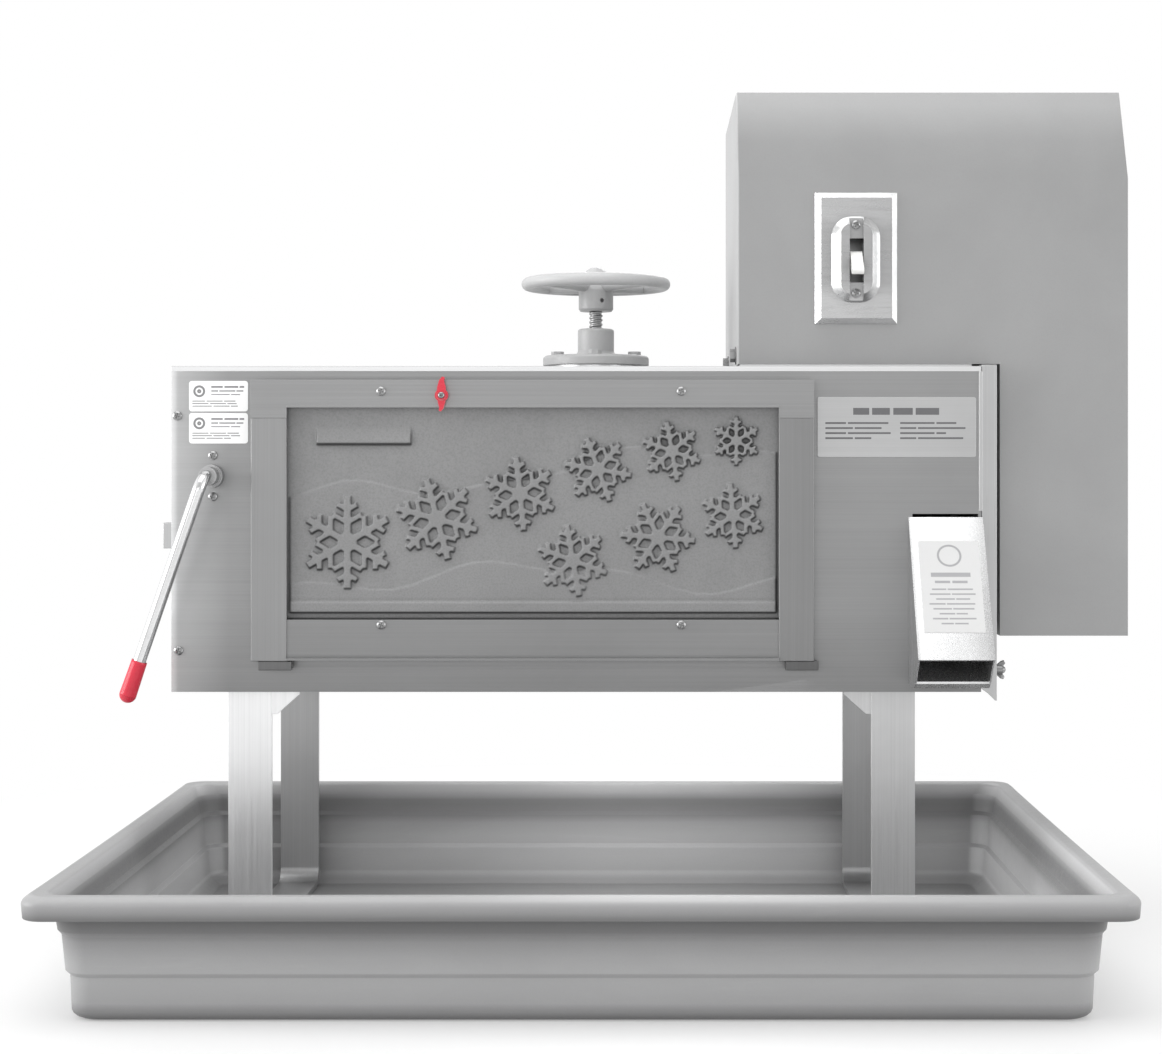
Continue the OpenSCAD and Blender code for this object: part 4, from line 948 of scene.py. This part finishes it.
def make_plug():
    """Moulded plug with a ribbed strain relief, blades down."""
    profile = list(PLUG_PROFILE)
    z = PLUG_PROFILE[-1][0]
    for i in range(RELIEF_RIBS):
        rib, groove = 0.0086 - i * 0.0006, 0.0066 - i * 0.0003
        profile += [(z + 0.0008, rib), (z + 0.0020, rib),
                    (z + 0.0024, groove), (z + 0.0034, groove)]
        z += RIB_PITCH
    profile += [(z + 0.001, 0.0048), (z + 0.0015, 0.0040)]
    base_z = PLUG_Z + DATUM_Z
    rings = [circle(PLUG_X, PLUG_Y, base_z + height, radius, 32) for height, radius in profile]
    loft("plug_body", rings, RUBBER, "black_rubber")
    half_width, half_thick = 0.0031, 0.0008
    blades = [(PLUG_X + x - half_width, PLUG_X + x + half_width,
               PLUG_Y - half_thick, PLUG_Y + half_thick, base_z - 0.018, base_z + 0.0015)
              for x in (-0.0065, 0.0065)]
    plug_blades = boxes("plug_blades", blades, ZINC, "fasteners")
    round_edges(plug_blades, 0.25)
    even_shading(plug_blades)


# ------------------------------------------------------------------ printed marks
PRINT_PROUD = 0.00006  # how far print stands off its surface
PRINT_SUNK = 0.0001    # and how far it reaches in behind
LABEL_PROUD = 0.00035  # face of the two front labels ahead of the front panel
LABEL_ZS = (0.466 + DATUM_Z, 0.438 + DATUM_Z)
HEADING_X, RULES_X = -0.3300, -0.3465
BADGE_X, BADGE_UP = -0.3405, 0.0175  # badge centre, and its height above the label's z
# height above the label's z, bar height, (width, gap after) of each bar
LABEL_HEADINGS = [
    (0.0205, 0.0016, [(0.010, 0.0015), (0.012, 0.0012), (0.004, 0)]),
    (0.0172, 0.0011, [(0.006, 0.001), (0.014, 0.001), (0.006, 0)]),
    (0.0142, 0.0008, [(0.016, 0.0012), (0.008, 0)]),
]


def make_label_print():
    """Each front label has a ring badge, short heading bars and three rule lines."""
    face_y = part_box("front_panel")[0].y - LABEL_PROUD
    bars = []

    def row(x, z, height, pattern):
        for width, gap in pattern:
            bars.append((x, x + width, face_y - PRINT_PROUD, face_y + PRINT_SUNK, z, z + height))
            x = x + width + gap

    for label, label_z in enumerate(LABEL_ZS):
        for up, height, pattern in LABEL_HEADINGS:
            row(HEADING_X, label_z + up, height, pattern)
        for i in range(3):
            row(RULES_X, label_z + 0.0085 - i * 0.0022, 0.0008,
                [(0.011 + 0.003 * ((i + label) % 3), 0.0014), (0.014, 0.0012),
                 (0.010 - 0.002 * i, 0.0)])
    boxes("label_bars", bars, LABEL_PRINT, "label_vinyl")

    for kind, radii in (("ring", (0.0033, 0.0052)), ("dot", (0.0002, 0.0018))):
        for letter, label_z in zip("ab", LABEL_ZS):
            badge_z = label_z + BADGE_UP
            flat_ring(f"label_{kind}_{letter}",
                      lambda x, z, y: (BADGE_X + x, face_y + y, badge_z + z),
                      radii, (PRINT_SUNK, -PRINT_PROUD), 32, LABEL_PRINT)


# ends of the heading bars from the plate's middle, and lengths of the rules
PLATE_HEADINGS = ((-0.038, -0.024), (-0.0215, -0.006), (-0.003, 0.014), (0.0165, 0.037))
RULE_LENGTHS = (0.055, 0.049, 0.057, 0.040)
RULE_BREAKS = (0.018, 0.030, 0.024, 0.014)
RULE_PITCH, RULE_HEIGHT, RULE_GAP = 0.0044, 0.0016, 0.0016


def make_plate_print():
    """The information plate has a broken heading bar over two columns of rules."""
    lo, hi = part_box("info_plate")
    y0, y1 = lo.y - PRINT_PROUD, lo.y + PRINT_SUNK
    mid = (lo.x + hi.x) / 2
    bars = [(mid + start, mid + end, y0, y1, hi.z - 0.0155, hi.z - 0.0095)
            for start, end in PLATE_HEADINGS]
    for column, x in enumerate((lo.x + 0.007, mid + 0.003)):
        for i in range(4):
            z = hi.z - 0.0235 - i * RULE_PITCH
            length = RULE_LENGTHS[(i + column) % 4]
            cut = RULE_BREAKS[(i * 2 + column) % 4]
            for x0, x1 in ((x, x + cut), (x + cut + RULE_GAP, x + length)):
                bars.append((x0, x1, y0, y1, z, z + RULE_HEIGHT))
    boxes("plate_bars", bars, PLATE_PRINT, "label_vinyl")


CHUTE_X = 0.3113
CHUTE_FOOT, CHUTE_HEAD = (-0.098, 0.255), (-0.0325, 0.3737)  # y, z of the slope's ends
CHUTE_PRINT_DEPTHS = (0.0003, 0.00045)  # above the slope
# x0, x1, then start and end up the slope
CHUTE_HEADINGS = [(-0.017, 0.017, 0.0775, 0.0815), (-0.014, -0.001, 0.0715, 0.0738),
                  (0.001, 0.014, 0.0715, 0.0738)]
# reach of each rule to the left and right of the middle
CHUTE_RULES = [(0.017, 0.018), (0.019, 0.020), (0.014, 0.015), (0.020, 0.019),
               (0.017, 0.018), (0.012, 0.012), (0.018, 0.019), (0.011, 0.012)]
CHUTE_BADGE_UP = 0.0978


def make_chute_print():
    """Bars and a ring badge laid along the chute's slope."""
    slope = math.atan2(CHUTE_HEAD[1] - CHUTE_FOOT[1], CHUTE_HEAD[0] - CHUTE_FOOT[0])
    place = (Matrix.Translation((CHUTE_X, CHUTE_FOOT[0], CHUTE_FOOT[1] + DATUM_Z))
             @ Matrix.Rotation(slope, 4, "X"))
    bars = list(CHUTE_HEADINGS)
    for i, (left, right) in enumerate(CHUTE_RULES):
        start = 0.0650 - i * 0.0046
        cut = -left + (left + right) * (0.35 + 0.1 * (i % 3))
        bars += [(-left, cut, start, start + 0.0014),
                 (cut + 0.0012, right, start, start + 0.0014)]
    boxes("chute_label_bars", [bar + CHUTE_PRINT_DEPTHS for bar in bars], CHUTE_PRINT,
          "label_vinyl", place)
    flat_ring("chute_label_ring", lambda x, y, z: place @ Vector((x, CHUTE_BADGE_UP + y, z)),
              (0.0088, 0.0106), CHUTE_PRINT_DEPTHS, 40, CHUTE_PRINT)


make_tray()
make_fasteners()
make_door()
make_screw()
make_spring()
make_cord()
make_plug()
make_label_print()
make_plate_print()
make_chute_print()


# ------------------------------------------------------------------ floor
def floor_material():
    """Pale matt floor that fades into the white backdrop with distance, hiding the horizon."""
    m = Look("studio_floor", rough=0.62)
    tint = (0.86, 0.86, 0.86)
    m.colour(m.mix(m.remap(m.noise(size=3.0, detail=4.0)), scaled(tint, 0.99), tint))
    glow = m.node("ShaderNodeEmission")
    glow.inputs["Color"].default_value = (1.0, 1.0, 1.0, 1)
    glow.inputs["Strength"].default_value = 1.0
    fade = m.node("ShaderNodeMixShader")
    geometry = m.node("ShaderNodeNewGeometry")
    distance = m.node("ShaderNodeVectorMath", operation="LENGTH")
    m.link(geometry.outputs["Position"], distance.inputs[0])
    m.link(m.remap(distance.outputs["Value"], to=(0.30, 1.0), over=(0.45, 1.1)),
           fade.inputs[0])
    m.link(m.shader.outputs[0], fade.inputs[1])
    m.link(glow.outputs[0], fade.inputs[2])
    m.link(fade.outputs[0], m.out.inputs["Surface"])
    return m.material


def make_floor():
    bpy.ops.mesh.primitive_plane_add(size=1, location=(0, 0, -0.0004))
    floor = bpy.context.object
    floor.name = "studio_floor"
    floor.scale = (14, 14, 1)
    floor.data.materials.append(floor_material())


# ------------------------------------------------------------------ world
SIDE_GLOW = 0.62  # brighter towards both -X and +X
ROOF_GLOW = 0.16  # brighter overhead
LEFT_GLOW = 0.16  # a little more towards -X
ROOM_GLOW = 0.54  # everywhere


def make_world():
    """A soft studio room lights the machine; the camera sees plain white."""
    world = bpy.data.worlds.new("studio")
    bpy.context.scene.world = world
    world.use_nodes = True
    tree = world.node_tree
    tree.nodes.clear()
    link = tree.links.new
    output = tree.nodes.new("ShaderNodeOutputWorld")
    switch = tree.nodes.new("ShaderNodeMixShader")
    light_path = tree.nodes.new("ShaderNodeLightPath")
    room = tree.nodes.new("ShaderNodeBackground")
    backdrop = tree.nodes.new("ShaderNodeBackground")
    coords = tree.nodes.new("ShaderNodeTexCoord")
    split = tree.nodes.new("ShaderNodeSeparateXYZ")
    link(coords.outputs["Generated"], split.inputs[0])

    def calc(operation, first, second):
        node = tree.nodes.new("ShaderNodeMath")
        node.operation = operation
        for socket, value in enumerate((first, second)):
            if isinstance(value, (int, float)):
                node.inputs[socket].default_value = value
            else:
                link(value, node.inputs[socket])
        return node.outputs[0]

    x, z = split.outputs[0], split.outputs[2]
    side = calc("MULTIPLY", calc("MULTIPLY", x, x), SIDE_GLOW)
    roof = calc("MULTIPLY", calc("MAXIMUM", z, 0.0), ROOF_GLOW)
    left = calc("MULTIPLY", calc("MAXIMUM", calc("MULTIPLY", x, -1.0), 0.0), LEFT_GLOW)
    room.inputs["Color"].default_value = (1.0, 1.0, 1.0, 1)
    link(calc("ADD", calc("ADD", calc("ADD", side, roof), left), ROOM_GLOW),
         room.inputs["Strength"])
    backdrop.inputs["Color"].default_value = (1.0, 1.0, 1.0, 1)
    backdrop.inputs["Strength"].default_value = 1.0
    link(light_path.outputs["Is Camera Ray"], switch.inputs[0])
    link(room.outputs[0], switch.inputs[1])
    link(backdrop.outputs[0], switch.inputs[2])
    link(switch.outputs[0], output.inputs[0])


# ------------------------------------------------------------------ lights and camera
# name, place, target, width, height, power (W)
LIGHTS = [
    ("key_top", (-0.3, -0.7, 2.6), (0, 0.1, 0.35), 2.2, 1.8, 26),
    ("fill_left", (-2.6, -0.7, 0.75), (0, 0, 0.30), 1.8, 1.3, 34),
    ("fill_right", (2.6, -1.2, 0.75), (0, 0, 0.30), 1.6, 1.3, 14),
    ("fill_front", (-0.4, -3.4, 0.8), (0, 0, 0.15), 2.4, 1.2, 7),
    ("back_top", (0.6, 2.4, 2.2), (0, 0, 0.4), 2.0, 1.4, 22),
    # stands in for light thrown down by the cabinet's bright underside
    ("under_fill", (0.07, -0.03, 0.222), (0.10, -0.03, 0.0), 0.50, 0.24, 1.15),
]
HIDDEN_LIGHT = "under_fill"  # kept out of the camera's view and out of reflections


def aim(direction):
    return Vector(direction).to_track_quat("-Z", "Y").to_euler()


def make_lights():
    for name, place, target, width, height, power in LIGHTS:
        light = bpy.data.lights.new(name, "AREA")
        light.shape = "RECTANGLE"
        light.size = width
        light.size_y = height
        light.energy = power
        obj = bpy.data.objects.new(name, light)
        bpy.context.scene.collection.objects.link(obj)
        obj.location = place
        obj.rotation_euler = aim(Vector(target) - Vector(place))
        if name == HIDDEN_LIGHT:
            obj.visible_camera = False
            obj.visible_glossy = False


def make_camera():
    """Level camera looking straight along +Y, its frame shifted rather than tilted."""
    camera = bpy.data.cameras.new("camera")
    camera.sensor_fit = "HORIZONTAL"
    camera.sensor_width = 36.0
    camera.lens = 64.130809
    camera.clip_start = 0.05
    camera.clip_end = 60
    obj = bpy.data.objects.new("camera", camera)
    bpy.context.scene.collection.objects.link(obj)
    camera.shift_x = -0.05335628
    camera.shift_y = -0.05421687
    obj.location = (0.0468, -1.8395, 0.420 + DATUM_Z)
    obj.rotation_euler = aim((0.0, 1.0, 0.0))
    bpy.context.scene.camera = obj


make_floor()
make_world()
make_lights()
make_camera()
bpy.context.scene.view_settings.view_transform = "Standard"
